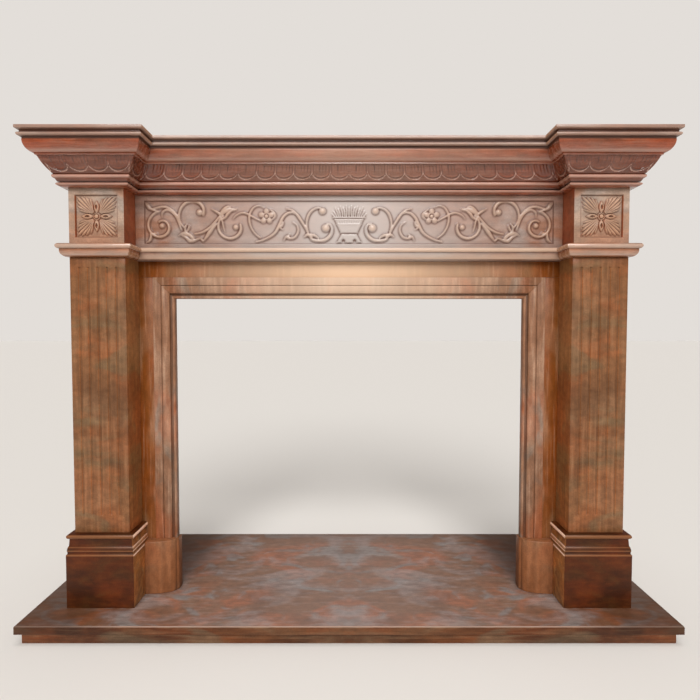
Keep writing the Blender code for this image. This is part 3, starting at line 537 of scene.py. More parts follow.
BLOCK_STONE = Marble(
    "frieze_block_marble", shade(162, 130, 108), shade(174, 120, 91), shade(151, 149, 145),
    shade(124, 68, 38), shade(185, 169, 154), Grain.LEVEL, (0.5, 0.4, 0.2, 0.3, 0.08, 7.0),
    returns=shade(156, 70, 22), hollow_dark=0.92, crest=shade(206, 160, 128), crest_share=0.5,
    offset=(6.2, 1.1, 0.7))
BED_STONE = Marble(
    "bed_marble", shade(139, 69, 38), shade(156, 67, 30), shade(108, 82, 63), shade(82, 33, 14),
    shade(206, 160, 136), Grain.LEVEL, (0.6, 0.5, 0.35, 0.15, 0.20, 8.0), centre_pale=0.44,
    centre_reach=0.6, crest=shade(214, 178, 162), crest_share=0.85, returns=shade(140, 70, 36),
    polish=Polish.BRIGHT, hollow_dark=0.88, offset=(5.0, 2.9, 3.6))
SHELF_STONE = Marble(
    "shelf_marble", shade(131, 84, 61), shade(143, 75, 47), shade(131, 122, 117),
    shade(97, 49, 27), shade(181, 163, 147), Grain.LEVEL, (0.5, 0.7, 0.35, 0.3, 0.18, 6.0),
    centre_pale=0.3, centre_reach=0.6, returns=shade(150, 88, 56), polish=Polish.SATIN,
    hollow_dark=0.85, crest=shade(212, 188, 174), crest_share=0.28, offset=(7.4, 0.8, 1.4))


# The angle, in degrees, over which the edges of a moulding are arrises.
MOULDED = 38.0
# How deep an eased arris of a carved block is, as a share of its width.
ARRIS_DROP = 0.6
# Lengths below which two points, a sliver of a face or a height count as none.
SAME_POINT = 1e-5
NO_LENGTH = 1e-6
SLIVER = 2e-5


class Profile:
    """A moulding's profile, drawn upwards as (projection, height) points."""

    def __init__(self, projection: float, height: float) -> None:
        """Start the profile at one point."""
        self.points: list[Point] = [(projection, height)]

    def to(self, projection: float, height: float) -> Profile:
        """Draw a straight line to a point."""
        self.points.append((projection, height))
        return self

    def arc(self, centre: Point, radii: Point, start: float, stop: float,
            steps: int = 9) -> Profile:
        """Draw a stretch of an ellipse.

        Args:
            centre: Its middle.
            radii: Its radii across and up.
            start: The angle it starts at, in degrees.
            stop: The angle it ends at.
            steps: How many straight lines make it.

        Returns:
            The profile.
        """
        for step in range(steps + 1):
            turn = math.radians(start + (stop - start) * step / steps)
            self.points.append((centre[0] + radii[0] * math.cos(turn),
                                centre[1] + radii[1] * math.sin(turn)))
        return self

    def bead(self, inner: float, tip: float, bottom: float, height: float,
             steps: int = 10) -> Profile:
        """Draw a half-round bead that swells from inner to tip."""
        return self.arc((inner, bottom + height / 2), (tip - inner, height / 2), -90, 90, steps)

    def clean(self) -> list[Point]:
        """Leave out points that fall on the one before.

        Returns:
            The points that are left.
        """
        kept = [self.points[0]]
        for point in self.points[1:]:
            if math.dist(point, kept[-1]) > SAME_POINT:
                kept.append(point)
        return kept


class Section:
    """Reads off a profile where it lies deep in a quirk and where it stands out as a crest, for
    painted shade and painted highlight.
    """

    SAMPLES = 400
    CREST_REACH = 0.0035
    CREST_RISE = 0.0004

    def __init__(self, profile: Sequence[Point], reach: float = 0.007,
                 full: float = 0.0045) -> None:
        """Measure the profile.

        Args:
            profile: The profile as (projection, height) points.
            reach: How far up and down it looks.
            full: The depth or rise that counts in full.
        """
        out, up = np.array(profile).T
        self.fine = np.linspace(up[0], up[-1], self.SAMPLES)
        edge = np.interp(self.fine, up, out)
        deep, proud = np.zeros(len(edge)), np.zeros(len(edge))
        for index, height in enumerate(self.fine):
            over = edge[(self.fine > height) & (self.fine < height + reach)]
            under = edge[(self.fine < height) & (self.fine > height - reach)]
            if len(over) and len(under):
                deep[index] = min(over.max(), under.max()) - edge[index]
                near = np.abs(self.fine - height) < self.CREST_REACH
                proud[index] = edge[index] - edge[near].mean()
        self.deep = np.clip(deep / full, 0, 1)
        self.proud = np.clip(proud / self.CREST_RISE, 0, 1)

    @staticmethod
    def spaced(profile: Sequence[Point], reach: float = 0.005) -> list[Point]:
        """Add points near the ends of long straights, so that their painted shade and highlight
        stay near the arrises.

        Args:
            profile: The profile.
            reach: How far from the ends they go.

        Returns:
            The profile with the added points.
        """
        made = [profile[0]]
        for a, b in zip(profile, profile[1:]):
            length = math.dist(a, b)
            shares = (reach / length, 1 - reach / length) if length > 2.5 * reach else ()
            made += [(a[0] + (b[0] - a[0]) * share, a[1] + (b[1] - a[1]) * share)
                     for share in shares]
            made.append(b)
        return made

    def marks(self, height: float) -> dict[str, float]:
        """Return how sheltered and how proud a height of the profile is, each from 0 to 1, as the
        strengths of its painted shade and painted highlight.
        """
        return {"hollow": float(np.interp(height, self.fine, self.deep)),
                "crest": float(np.interp(height, self.fine, self.proud))}

    def at(self, place: Vector) -> dict[str, float]:
        """Return the marks of a place on a level moulding."""
        return self.marks(place.z)


def verts_in(made: Sequence[object]) -> list[bmesh.types.BMVert]:
    """Pick the vertices out of what an operator made."""
    return [item for item in made if isinstance(item, bmesh.types.BMVert)]


def stack(plan: Plan, profile: Sequence[Point]) -> Mesh:
    """Raise a course from its plan, drawing its top face up through the profile.

    Args:
        plan: Gives the plan's corners at a projection.
        profile: The profile from the bottom up.

    Returns:
        The closed course.
    """
    bm = bmesh.new()
    projection, height = profile[0]
    corners = plan(projection)
    face = underside = bm.faces.new([bm.verts.new((x, y, height)) for x, y in corners])
    for projection, height in profile[1:]:
        below = face
        made = bmesh.ops.extrude_face_region(bm, geom=[below])["geom"]
        face = next(item for item in made if isinstance(item, bmesh.types.BMFace))
        if below is not underside and below.is_valid:
            bmesh.ops.delete(bm, geom=[below], context="FACES_ONLY")
        wider = plan(projection)
        for vert in verts_in(made):
            index = min(range(len(corners)), key=lambda k: math.dist(corners[k], vert.co.xy))
            vert.co = (*wider[index], height)
        corners = wider
    return bm


def ease(bm: Mesh, radius: float, sharper_than: float = 28.0, segments: int = 2,
         joint: float = math.inf) -> Mesh:
    """Ease every arris that is sharper than an angle, as polishing does.

    Args:
        bm: The piece.
        radius: The easing's width.
        sharper_than: The angle in degrees.
        segments: How many facets round the edge.
        joint: The y from which the arrises are hidden in a joint and stay sharp.

    Returns:
        The same piece.
    """
    bmesh.ops.dissolve_degenerate(bm, dist=NO_LENGTH, edges=bm.edges[:])
    bmesh.ops.recalc_face_normals(bm, faces=bm.faces[:])
    bm.normal_update()
    limit = math.radians(sharper_than)
    edges = [edge for edge in bm.edges if edge.is_manifold and edge.calc_face_angle(0.0) > limit
             and min(vert.co.y for vert in edge.verts) < joint]
    bmesh.ops.bevel(bm, geom=edges, offset=radius, offset_type="OFFSET", affect="EDGES",
                    segments=segments, profile=0.5, material=-1, clamp_overlap=True)
    bmesh.ops.dissolve_degenerate(bm, dist=SLIVER, edges=bm.edges[:])
    return bm


def block(box: Box) -> Mesh:
    """Make a plain block that fills a box.

    Args:
        box: The room it takes.

    Returns:
        The block.
    """
    bm = bmesh.new()
    bmesh.ops.create_cube(bm, size=1.0)
    bmesh.ops.scale(bm, vec=box.size, verts=bm.verts)
    bmesh.ops.translate(bm, vec=box.middle, verts=bm.verts)
    return bm


def warped_grid(bm: Mesh, columns: int, rows: int) -> list[list[bmesh.types.BMVert]]:
    """Add a grid and return its vertices by row and column.

    Args:
        bm: The mesh to add it to.
        columns: How many vertices it has across.
        rows: How many it has up.

    Returns:
        The vertices, as rows of columns.
    """
    made = bmesh.ops.create_grid(bm, x_segments=columns - 1, y_segments=rows - 1, size=0.5)["verts"]
    table: list[list[bmesh.types.BMVert]] = [[None] * columns for _ in range(rows)]
    for vert in made:
        row = round((vert.co.y + 0.5) * (rows - 1))
        column = round((vert.co.x + 0.5) * (columns - 1))
        table[row][column] = vert
    return table


def carved_block(across: np.ndarray, up: np.ndarray, depth: np.ndarray,
                 marks: dict[str, np.ndarray], box: Box) -> Mesh:
    """Make a block whose front face follows a carved surface.

    Args:
        across: The x of each grid line.
        up: The z of each grid line.
        depth: How far each crossing lies behind the front.
        marks: Values from 0 to 1 that the finish reads at each crossing, by name.
        box: The room it takes, for its front and its flat back.

    Returns:
        The closed block.
    """
    bm = bmesh.new()
    layers = {name: bm.verts.layers.float.new(name) for name in marks}
    table = warped_grid(bm, len(across), len(up))
    for row, height in enumerate(up):
        for column, x in enumerate(across):
            vert = table[row][column]
            vert.co = (x, box.front + depth[row, column], height)
            for name, layer in layers.items():
                vert[layer] = float(marks[name][row, column])
    rim = [edge for edge in bm.edges if edge.is_boundary]
    made = bmesh.ops.extrude_edge_only(bm, edges=rim)["geom"]
    for vert in verts_in(made):
        vert.co.y = box.back
        for layer in layers.values():
            vert[layer] = 0.0
    rim = [item for item in made if isinstance(item, bmesh.types.BMEdge) and item.is_boundary]
    bmesh.ops.edgeloop_fill(bm, edges=rim)
    return bm


def smooth_run(knots: Sequence[Point], steps: int = 9) -> np.ndarray:
    """Draw a smooth curve through a few points.

    Args:
        knots: The points.
        steps: How many lines there are between two of them.

    Returns:
        The curve's points.
    """
    ends = np.array([knots[0], *knots, knots[-1]], float)
    t = np.linspace(0, 1, steps, endpoint=False)[:, None]
    runs = []
    for a, b, c, d in zip(ends, ends[1:], ends[2:], ends[3:]):
        runs.append(0.5 * (2 * b + (c - a) * t + (2 * a - 5 * b + 4 * c - d) * t ** 2
                           + (3 * b - a - 3 * c + d) * t ** 3))
    return np.vstack([*runs, ends[-1:]])


def spiral(centre: Point, start_radius: float, end_radius: float, start: float,
           sweep: float) -> np.ndarray:
    """Draw a scroll that closes from one radius to another.

    Args:
        centre: Its middle.
        start_radius: The radius it starts with.
        end_radius: The radius it ends with.
        start: The angle it starts at, in degrees.
        sweep: How far it turns.

    Returns:
        The scroll's points.
    """
    share = np.linspace(0, 1, max(12, int(abs(sweep) / 9)))
    turn = np.radians(start + sweep * share)
    radius = start_radius + (end_radius - start_radius) * share
    return np.stack([centre[0] + radius * np.cos(turn), centre[1] + radius * np.sin(turn)], 1)


@dataclass
class Relief:
    """Carving as heights above a flat ground, held where the grid lines cross."""

    # How far a narrow end may sink, the fullness from which a section is round, the powers of
    # round and keen sections, and the width of a groove as a share of the half-width.
    LEAST_CREST: ClassVar[float] = 0.45
    ROUND_FROM: ClassVar[float] = 2.0
    ROUND_POWER: ClassVar[float] = 0.6
    KEEN_POWER: ClassVar[float] = 0.85
    GROOVE_SHARE: ClassVar[float] = 0.28

    across: np.ndarray
    up: np.ndarray
    height: np.ndarray = field(init=False)

    def __post_init__(self) -> None:
        """Start from the flat ground."""
        self.height = np.zeros((len(self.up), len(self.across)))

    def window(self, low: Point, high: Point) -> tuple[slice, slice, np.ndarray, np.ndarray]:
        """Find the grid lines inside a rectangle.

        Args:
            low: Its lowest corner.
            high: Its highest corner.

        Returns:
            The rows, the columns and the places of their crossings.
        """
        columns = slice(*np.searchsorted(self.across, (low[0], high[0])))
        rows = slice(*np.searchsorted(self.up, (low[1], high[1])))
        u, v = np.meshgrid(self.across[columns], self.up[rows])
        return rows, columns, u, v

    def raise_to(self, rows: slice, columns: slice, value: np.ndarray) -> None:
        """Lift the surface where a new shape stands higher."""
        self.height[rows, columns] = np.maximum(self.height[rows, columns], value)

    def stroke(self, points: np.ndarray, widths: Sequence[float], rise: float,
               groove: float = 0.0, full: float = 2.4) -> None:
        """Carve a rounded stem or leaf lobe along a line.

        Args:
            points: The line.
            widths: Half-widths at even steps along it.
            rise: How high its crest stands.
            groove: How deep a groove runs along the crest.
            full: How full its section is; low values make it keen.
        """
        share = np.linspace(0, 1, len(points))
        half = np.interp(share, np.linspace(0, 1, len(widths)), widths)
        crest = rise * np.clip(half / max(widths), self.LEAST_CREST, 1.0) ** 0.5
        power = self.ROUND_POWER if full > self.ROUND_FROM else self.KEEN_POWER
        for index in range(len(points) - 1):
            a, b = points[index], points[index + 1]
            reach = max(half[index], half[index + 1])
            rows, columns, u, v = self.window(np.minimum(a, b) - reach,
                                              np.maximum(a, b) + reach)
            if u.size == 0:
                continue
            run = b - a
            length = max(float(run @ run), 1e-12)
            t = np.clip(((u - a[0]) * run[0] + (v - a[1]) * run[1]) / length, 0, 1)
            away = np.hypot(u - a[0] - t * run[0], v - a[1] - t * run[1])
            radius = half[index] + (half[index + 1] - half[index]) * t
            ratio = np.clip(away / radius, 0, 1)
            top = crest[index] + (crest[index + 1] - crest[index]) * t
            value = top * (1 - ratio ** full) ** power
            value = value - groove * np.exp(-(ratio / self.GROOVE_SHARE) ** 2)
            self.raise_to(rows, columns, np.where(away < radius, value, 0))

    def ball(self, centre: Point, radius: float, rise: float, ground: float = 0.0) -> None:
        """Carve a domed boss.

        Args:
            centre: Its middle.
            radius: Its radius.
            rise: How high it stands.
            ground: How far it starts above the ground.
        """
        rows, columns, u, v = self.window((centre[0] - radius, centre[1] - radius),
                                          (centre[0] + radius, centre[1] + radius))
        ratio = np.hypot(u - centre[0], v - centre[1]) / radius
        dome = ground + rise * np.sqrt(np.clip(1 - ratio ** 2, 0, 1))
        self.raise_to(rows, columns, np.where(ratio < 1, dome, 0))

    def plate(self, corners: Sequence[Point], rise: float, round_over: float = 0.0015) -> None:
        """Carve a flat raised shape with rounded edges, from an outline without dents.

        Args:
            corners: The outline.
            rise: How high its face stands.
            round_over: How wide its rounded edge is.
        """
        outline = np.array(corners, float)
        rows, columns, u, v = self.window(outline.min(0), outline.max(0))
        nearest = np.full(u.shape, 1.0)
        middle = outline.mean(0)
        for a, b in zip(outline, np.roll(outline, -1, 0)):
            run = (b - a) / np.hypot(*(b - a))
            side = np.sign(run[0] * (middle[1] - a[1]) - run[1] * (middle[0] - a[0]))
            nearest = np.minimum(nearest, side * (run[0] * (v - a[1]) - run[1] * (u - a[0])))
        share = np.clip(nearest / round_over, 0, 1)
        self.raise_to(rows, columns, rise * np.sqrt(share * (2 - share)))

    def sink(self, points: np.ndarray, widths: Sequence[float], depth: float) -> None:
        """Cut a rounded groove or a pierced eye into what is carved.

        Args:
            points: The line it follows.
            widths: Half-widths along it.
            depth: How deep it goes.
        """
        cut = Relief(self.across, self.up)
        cut.stroke(points, widths, depth)
        self.height = np.maximum(self.height - cut.height, 0)

    def soften(self, passes: int = 1) -> None:
        """Round every edge a little, as hand finishing does."""
        for _ in range(passes):
            self.height = blurred(self.height, 1) * 0.5 + self.height * 0.5

    def hollow(self, reach: int, full: float) -> np.ndarray:
        """Say how sheltered each crossing is by what stands round it, as the strength of its
        painted shade.

        Args:
            reach: How many grid lines away it looks.
            full: The difference in height that counts as wholly sheltered.

        Returns:
            Values from 0 to 1.
        """
        around = blurred(blurred(self.height, reach), reach)
        return np.clip((around - self.height) / full, 0, 1)


def blurred(values: np.ndarray, reach: int) -> np.ndarray:
    """Average each value with its neighbours.

    Args:
        values: The table.
        reach: How many places away it looks.

    Returns:
        The averaged table.
    """
    kernel = np.ones(2 * reach + 1) / (2 * reach + 1)
    for axis in (0, 1):
        margin = [(reach, reach) if k == axis else (0, 0) for k in (0, 1)]
        padded = np.pad(values, margin, mode="edge")
        values = np.apply_along_axis(lambda line: np.convolve(line, kernel, mode="valid"), axis,
                                     padded)
    return values


def arris_drop(edge: np.ndarray, arris: float) -> np.ndarray:
    """Say how far a carved block's outermost grid lines lie behind its front.

    Args:
        edge: How far each crossing is from the block's edge.
        arris: The width of the eased arris.

    Returns:
        The depth at each crossing.
    """
    return np.where(edge < arris / 2, arris * ARRIS_DROP, 0)


@dataclass
class Assembly:
    """What every sub-assembly shares: how a finished mesh becomes a piece of the mantel."""

    wall: float = field(init=False)

    def __post_init__(self) -> None:
        """Read where the flat back lies."""
        self.wall = Box.of("bed_moulding").back

    def piece(self, name: str, bm: Mesh, stone: Marble, stands_for: str,
              slot: str = "mantel_stone", sharp: float = 32.0,
              marks: Marks | None = None) -> bpy.types.Object:
        """Turn a mesh into a dressed piece that stands for its node.

        Args:
            name: The piece's name.
            bm: Its mesh, in place.
            stone: Its finish.
            stands_for: The CAD node it stands for.
            slot: The record's material slot; not used.
            sharp: Edges over this angle are shaded sharp, in degrees.
            marks: Gives what the finish reads at a place, where the carving hasn't said it.

        Returns:
            The piece.
        """
        bmesh.ops.recalc_face_normals(bm, faces=bm.faces[:])
        if marks:
            layers = {key: bm.verts.layers.float.new(key) for key in marks(Vector())}
            for vert in bm.verts:
                for key, value in marks(vert.co).items():
                    vert[layers[key]] = value
        mesh = bpy.data.meshes.new(name)
        bm.to_mesh(mesh)
        bm.free()
        mesh.shade_smooth()
        mesh.set_sharp_from_angle(angle=math.radians(sharp))
        made = bpy.data.objects.new(name, mesh)
        bpy.context.scene.collection.objects.link(made)
        mesh.materials.append(stone.material())
        # Which way each face turns, for the painted light and shade on the side faces.
        if stone.returns:
            turned = mesh.attributes.new("returns", "FLOAT", "FACE")
            turned.data.foreach_set("value", [abs(face.normal.x) for face in mesh.polygons])
        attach(made, BODY)
        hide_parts(stands_for)
        log.info("%s: %d faces", name, len(mesh.polygons))
        return made


@dataclass
class Hearth(Assembly):
    """The slab that the mantel stands on, and the recessed base under it."""

    slab_round: float = 0.005
    slab_arris: float = 0.0008
    base_round: float = 0.0012
    score_reach: Point = (0.92, 0.30)
    score_step: float = 0.04
    # Painted shadow behind the foot blocks and along the back edge, darkening towards the ends, and
    # a painted highlight along the front edge of the top: their strengths and reaches.
    soot: float = 0.85
    soot_depth: float = 0.30
    soot_width: float = 0.10
    back_soot: float = 0.5
    back_width: float = 0.06
    end_dark: float = 0.75
    end_width: float = 0.16
    rubbed_depth: float = 0.02
    rubbed_band: Point = (-0.0026, -0.0004)

    def build(self) -> None:
        """Build the slab with its eased edge, scored so that its painted shadow can vary across it,
        and the base.
        """
        box = Box.of("hearth_slab")
        bm = block(box)
        rim = [edge for edge in bm.edges
               if all(vert.co.z > box.middle[2] for vert in edge.verts)]
        bmesh.ops.bevel(bm, geom=rim, offset=self.slab_round, offset_type="OFFSET", affect="EDGES",
                        segments=5, profile=0.5, material=-1)
        bm = ease(bm, self.slab_arris)
        for axis, reach in enumerate(self.score_reach):
            way = Vector((1.0 - axis, float(axis), 0.0))
            for step in np.arange(-reach, reach + self.score_step / 4, self.score_step):
                bmesh.ops.bisect_plane(bm, geom=[*bm.verts, *bm.edges, *bm.faces], dist=NO_LENGTH,
                                       plane_co=way * float(step), plane_no=way)
        slab = self.piece("hearth_top", bm, HEARTH_STONE, "hearth_slab", "hearth_stone", 40,
                          self.wear)
        slab.data.materials.append(HEARTH_EDGE.material())
        for face in slab.data.polygons:
            face.material_index = 0 if face.normal.z > 0.9 else 1
        base = ease(block(Box.of("hearth_base")), self.base_round)
        self.piece("hearth_foot", base, HEARTH_EDGE, "hearth_base", "hearth_stone")

    def wear(self, place: Vector) -> dict[str, float]:
        """Say how much painted shadow, darkening towards the ends and painted highlight the slab
        has at a place.

        Args:
            place: The place on the slab.

        Returns:
            How dark it is painted and how much painted highlight it has, each from 0 to 1.
        """
        slab, foot, plinth = (Box.of(name) for name in ("hearth_slab", "foot_block_right",
                                                        "plinth_right"))
        # Painted shadow in the corners behind the foot blocks and along the back, darker towards
        # the ends, and a painted highlight along the rounded front edge.
        inward = max(foot.left - abs(place.x), 0.0)
        behind = min(max((place.y - foot.front) / self.soot_depth, 0.0), 1.0)
        corner = self.soot * behind ** 0.5 * math.exp(-inward / self.soot_width)
        rear = self.back_soot * math.exp(-(slab.back - place.y) / self.back_width)
        ends = min(max((abs(place.x) - plinth.left) / self.end_width, 0.0), 1.0)
        low, high = self.rubbed_band
        foremost = place.y < slab.front + self.rubbed_depth
        edge_highlight = foremost and low < place.z - slab.top < high
        return {"hollow": max(corner, rear, self.end_dark * ends), "crest": float(edge_highlight)}


@dataclass
class Pilaster(Assembly):
    """One pilaster: plinth, foot block, fluted shaft, impost and frieze block."""

    side: Side = Side.LEFT
    plinth_projection: float = 0.019
    die_height: float = 0.160
    base_height: float = 0.0615
    fillet_step: float = 0.003
    scotia: float = 0.0115
    ogee: Point = (0.0055, 0.016)
    ogee_seat: float = 0.010
    torus_height: float = 0.0145
    torus_step: float = 0.001
    torus_foot: float = 0.003
    base_top_step: float = 0.002
    foot_front: float = 0.060
    foot_bow: float = 0.030
    foot_round: float = 0.006
    foot_arris: float = 0.0022
    flutes: int = 5
    flute_width: float = 0.0072
    flute_depth: float = 0.0032
    flute_head: float = 0.028
    flute_foot: float = 0.052
    # How dark the painted shade in the flutes is.
    flute_dark: float = 0.30
    square: float = 0.126
    square_sink: float = 0.005
    square_lines: int = 131
    square_rim: tuple[float, ...] = (-0.0006, 0.0, 0.0008)
    # The painted shade along the sunk square's inner corner, and its width.
    square_shade: float = 0.8
    square_shade_width: float = 0.0022
    rosette: float = 0.0058
    rosette_fade: float = 0.002
    # The rise round the rosette that counts as full painted shade, as a share of its height.
    rosette_hollow: float = 0.24
    arris: float = 0.0009

    def __post_init__(self) -> None:
        """Read where this pilaster stands."""
        super().__post_init__()
        self.shaft = Box.of(f"shaft_{self.side.word}")
        self.inner = self.shaft.right if self.side is Side.LEFT else self.shaft.left

    def build(self) -> None:
        """Build the pilaster from the floor up."""
        self.build_plinth()
        self.build_foot()
        self.build_shaft()
        self.build_impost()
        self.build_frieze_block()

    def lay(self, name: str, bm: Mesh, stone: Marble, stands_for: str, **given: object) -> None:
        """Turn a mesh into this side's piece of a pair.

        Args:
            name: The piece's name without its side.
            bm: Its mesh, in place.
            stone: Its finish.
            stands_for: The CAD node it stands for, without its side.
            given: What else a piece may be given.
        """
        word = self.side.word
        self.piece(f"{name}_{word}", bm, stone, f"{stands_for}_{word}", **given)

    def plinth_plan(self, projection: float) -> list[Point]:
        """Draw the plinth's plan, whose inner return stops against the slip.

        Args:
            projection: How far the moulding stands out.

        Returns:
            The plan's corners.
        """
        sign = self.side.value
        inner = sign * self.inner
        outer = inner + self.shaft.right - self.shaft.left
        stop = Box.of("slip_left").front - JOINT
        front = self.shaft.front
        corners = [(outer + projection, self.wall), (outer + projection, front - projection),
                   (inner - projection, front - projection), (inner - projection, stop),
                   (inner, stop), (inner, self.wall)]
        return [(sign * x, y) for x, y in corners]

    def build_plinth(self) -> None:
        """Build the plinth's die with its ogee, scotia and torus."""
        bottom = Box.of(f"plinth_{self.side.word}").bottom
        die_top = bottom + self.die_height
        top = die_top + self.base_height
        torus = top - self.torus_height
        step = self.plinth_projection - self.fillet_step
        seat = die_top + self.ogee_seat
        line = Profile(self.plinth_projection, bottom).to(self.plinth_projection, die_top)
        line.to(step, die_top + self.fillet_step).to(step, seat)
        line.arc((self.scotia, seat), self.ogee, 0, 78)
        line.to(self.scotia, torus - self.torus_foot).to(self.scotia, torus)
        line.bead(self.scotia, self.plinth_projection - self.torus_step, torus, self.torus_height)
        line.points[-1] = (self.scotia - self.base_top_step, top)
        profile = Section.spaced(line.clean())
        joint = Box.of("slip_left").front - JOINT * 2
        bm = ease(stack(self.plinth_plan, profile), self.arris / 2, MOULDED, joint=joint)
        # The section's marks paint shade in the quirks and a highlight on the crests.
        self.lay("plinth_block", bm, PLINTH_STONE, "plinth", marks=Section(profile).at)

    def build_foot(self) -> None:
        """Build the bowed foot block under the slip and the architrave leg."""
        box = Box.of(f"foot_block_{self.side.word}")
        sign = self.side.value
        far, heel = sorted((abs(box.left), abs(box.right)))
        outer = abs(self.inner) - self.plinth_projection - JOINT
        front = self.shaft.front + self.foot_front
        rebate = Box.of("slip_left").front
        corners = [(far, box.back), (heel, box.back), (heel, rebate), (outer, rebate)]
        for angle in range(0, 91, 6):
            turn = math.radians(angle)
            corners.append((outer - (outer - far - self.foot_round) * math.sin(turn),
                            front + self.foot_bow * (1 - math.cos(turn))))
        corners.append((far, front + self.foot_bow + self.foot_round))
        bm = bmesh.new()
        face = bm.faces.new([bm.verts.new((sign * x, y, box.bottom)) for x, y in corners])
        made = bmesh.ops.extrude_face_region(bm, geom=[face])["geom"]
        bmesh.ops.translate(bm, vec=(0, 0, box.size[2]), verts=verts_in(made))
        ease(bm, self.foot_arris, MOULDED, segments=3)
        self.lay("bowed_foot", bm, FOOT_STONE, "foot_block")

    def flute_centres(self) -> list[float]:
        """Return the x of each flute's middle."""
        return [self.shaft.left + self.shaft.size[0] * (index + 1) / (self.flutes + 1)
                for index in range(self.flutes)]

    def flute_lines(self) -> np.ndarray:
        """Lay the grid lines across the shaft, close together in each flute.

        Returns:
            The x of each line.
        """
        box = self.shaft
        lines = [box.left, box.left + self.arris, box.right - self.arris, box.right]
        for centre in self.flute_centres():
            lines += list(centre + np.linspace(-1.15, 1.15, 15) * self.flute_width / 2)
        return np.unique(np.round(lines, 6))

    def build_shaft(self) -> None:
        """Build the shaft with its stopped flutes."""
        box = self.shaft
        across = self.flute_lines()
        foot, head = box.bottom + self.flute_foot, box.top - self.flute_head
        half = self.flute_width / 2
        ends = np.sin(np.linspace(-1, 1, 9) * math.pi / 2)
        up = np.unique(np.round([box.bottom, box.bottom + self.arris, box.top - self.arris, box.top,
                                 *(foot + half * (1 + ends)), *(head - half * (1 + ends)),
                                 *np.linspace(foot + 0.02, head - 0.02, 24)], 6))
        u, v = np.meshgrid(across, up)
        depth = np.zeros(u.shape)
        for centre in self.flute_centres():
            beyond = np.maximum(np.maximum(foot + half - v, v - head + half), 0)
            ratio = np.clip(np.hypot(u - centre, beyond) / half, 0, 1)
            depth = np.maximum(depth, self.flute_depth * np.sqrt(1 - ratio ** 2))
        # Painted shade in the flutes, darker where they are deeper.
        hollow = np.clip(depth / self.flute_depth * self.flute_dark, 0, 1)
        edge = np.minimum(np.minimum(u - box.left, box.right - u),
                          np.minimum(v - box.bottom, box.top - v))
        depth = np.maximum(depth, arris_drop(edge, self.arris))
        bm = carved_block(across, up, depth, {"hollow": hollow}, box)
        self.lay("fluted_shaft", bm, SHAFT_STONE, "shaft", sharp=40)

    def shaft_plan(self, projection: float) -> list[Point]:
        """Draw the plan of a course round the shaft's front and sides.

        Args:
            projection: How far the course stands out.

        Returns:
            The plan's corners.
        """
        left, right = self.shaft.left - projection, self.shaft.right + projection
        front = self.shaft.front - projection
        return [(left, self.wall), (left, front), (right, front), (right, self.wall)]

    def build_impost(self) -> None:
        """Build the impost over the shaft."""
        box = Box.of(f"impost_{self.side.word}")
        profile = impost_profile(box.bottom, box.top)
        bm = ease(stack(self.shaft_plan, profile), IMPOST_ARRIS, MOULDED)
        # The section's marks paint shade in the quirks and a highlight on the crests.
        self.lay("impost_cap", bm, IMPOST_STONE, "impost", marks=Section(profile).at)

    def rosette_relief(self, across: np.ndarray, up: np.ndarray) -> Relief:
        """Carve the rosette: four acanthus leaves to the corners, four pierced buds and a boss.

        Args:
            across: Grid lines across, from the square's middle.
            up: Grid lines up, from the square's middle.

        Returns:
            The carving.
        """
        carving = Relief(across, up)
        reach, rise = self.square / 2 - self.square_sink * 0.6, self.rosette
        for quarter in range(4):
            turn = math.radians(90 * quarter)
            cos, sin = math.cos(turn), math.sin(turn)
            for base, bend, tip, width, height in ROSETTE_LOBES:
                line = smooth_run([(u * cos - v * sin, u * sin + v * cos)
                                   for u, v in (base, bend, tip)], 6) * reach
                shape = [LOBE_ROOT, *(width * share for share in LOBE_SHAPE)]
                carving.stroke(line, [part * reach for part in shape], rise * height,
                               full=LOBE_FULLNESS)
        for quarter in range(4):
            turn = math.radians(90 * quarter)
            along = np.array((math.cos(turn), math.sin(turn)))
            line = np.array([along * share * reach for share in np.linspace(*BUD_REACH, 12)])
            wide = [reach * w for w in BUD_SHAPE]
            around = Relief(across, up)
            around.stroke(line, [width + BUD_CLEARANCE for width in wide], 1.0)
            carving.height = np.where(around.height > 0.05, 0, carving.height)
            carving.stroke(line, wide, rise * BUD_RISE)
            carving.sink(line[3:8], [reach * w for w in EYE_SHAPE], rise * EYE_DEPTH)
        radius, height, foot = BOSS
        carving.ball((0, 0), reach * radius, rise * height, rise * foot)
        radius, width, depth = BOSS_RING
        carving.sink(ring_line(reach * radius), (width, width), rise * depth)
        radius, height, foot = BUTTON
        carving.ball((0, 0), reach * radius, rise * height, rise * foot)
        return carving

    def build_frieze_block(self) -> None:
        """Build the frieze block with its sunk square and rosette."""
        box = Box.of(f"frieze_block_{self.side.word}")
        half = self.square / 2
        splay = self.square_sink * 0.5
        fine = np.linspace(-half + splay, half - splay, self.square_lines)
        rim = [half + step for step in self.square_rim]

        def lines(reach: float) -> np.ndarray:
            """Return the grid lines from edge to edge of the block."""
            outer = np.array([*rim, reach, reach - self.arris, reach - self.arris * 2])
            return np.unique(np.round([*fine, *outer, *-outer], 6))
        width, _, tall = box.size
        across, up = lines(width / 2), lines(tall / 2)
        carving = self.rosette_relief(across, up)
        u, v = np.meshgrid(across, up)
        inside = half - np.maximum(np.abs(u), np.abs(v))
        sunk = self.square_sink * np.clip(inside / splay, 0, 1)
        carving.height *= np.clip((inside - splay * 0.6) / self.rosette_fade, 0, 1)
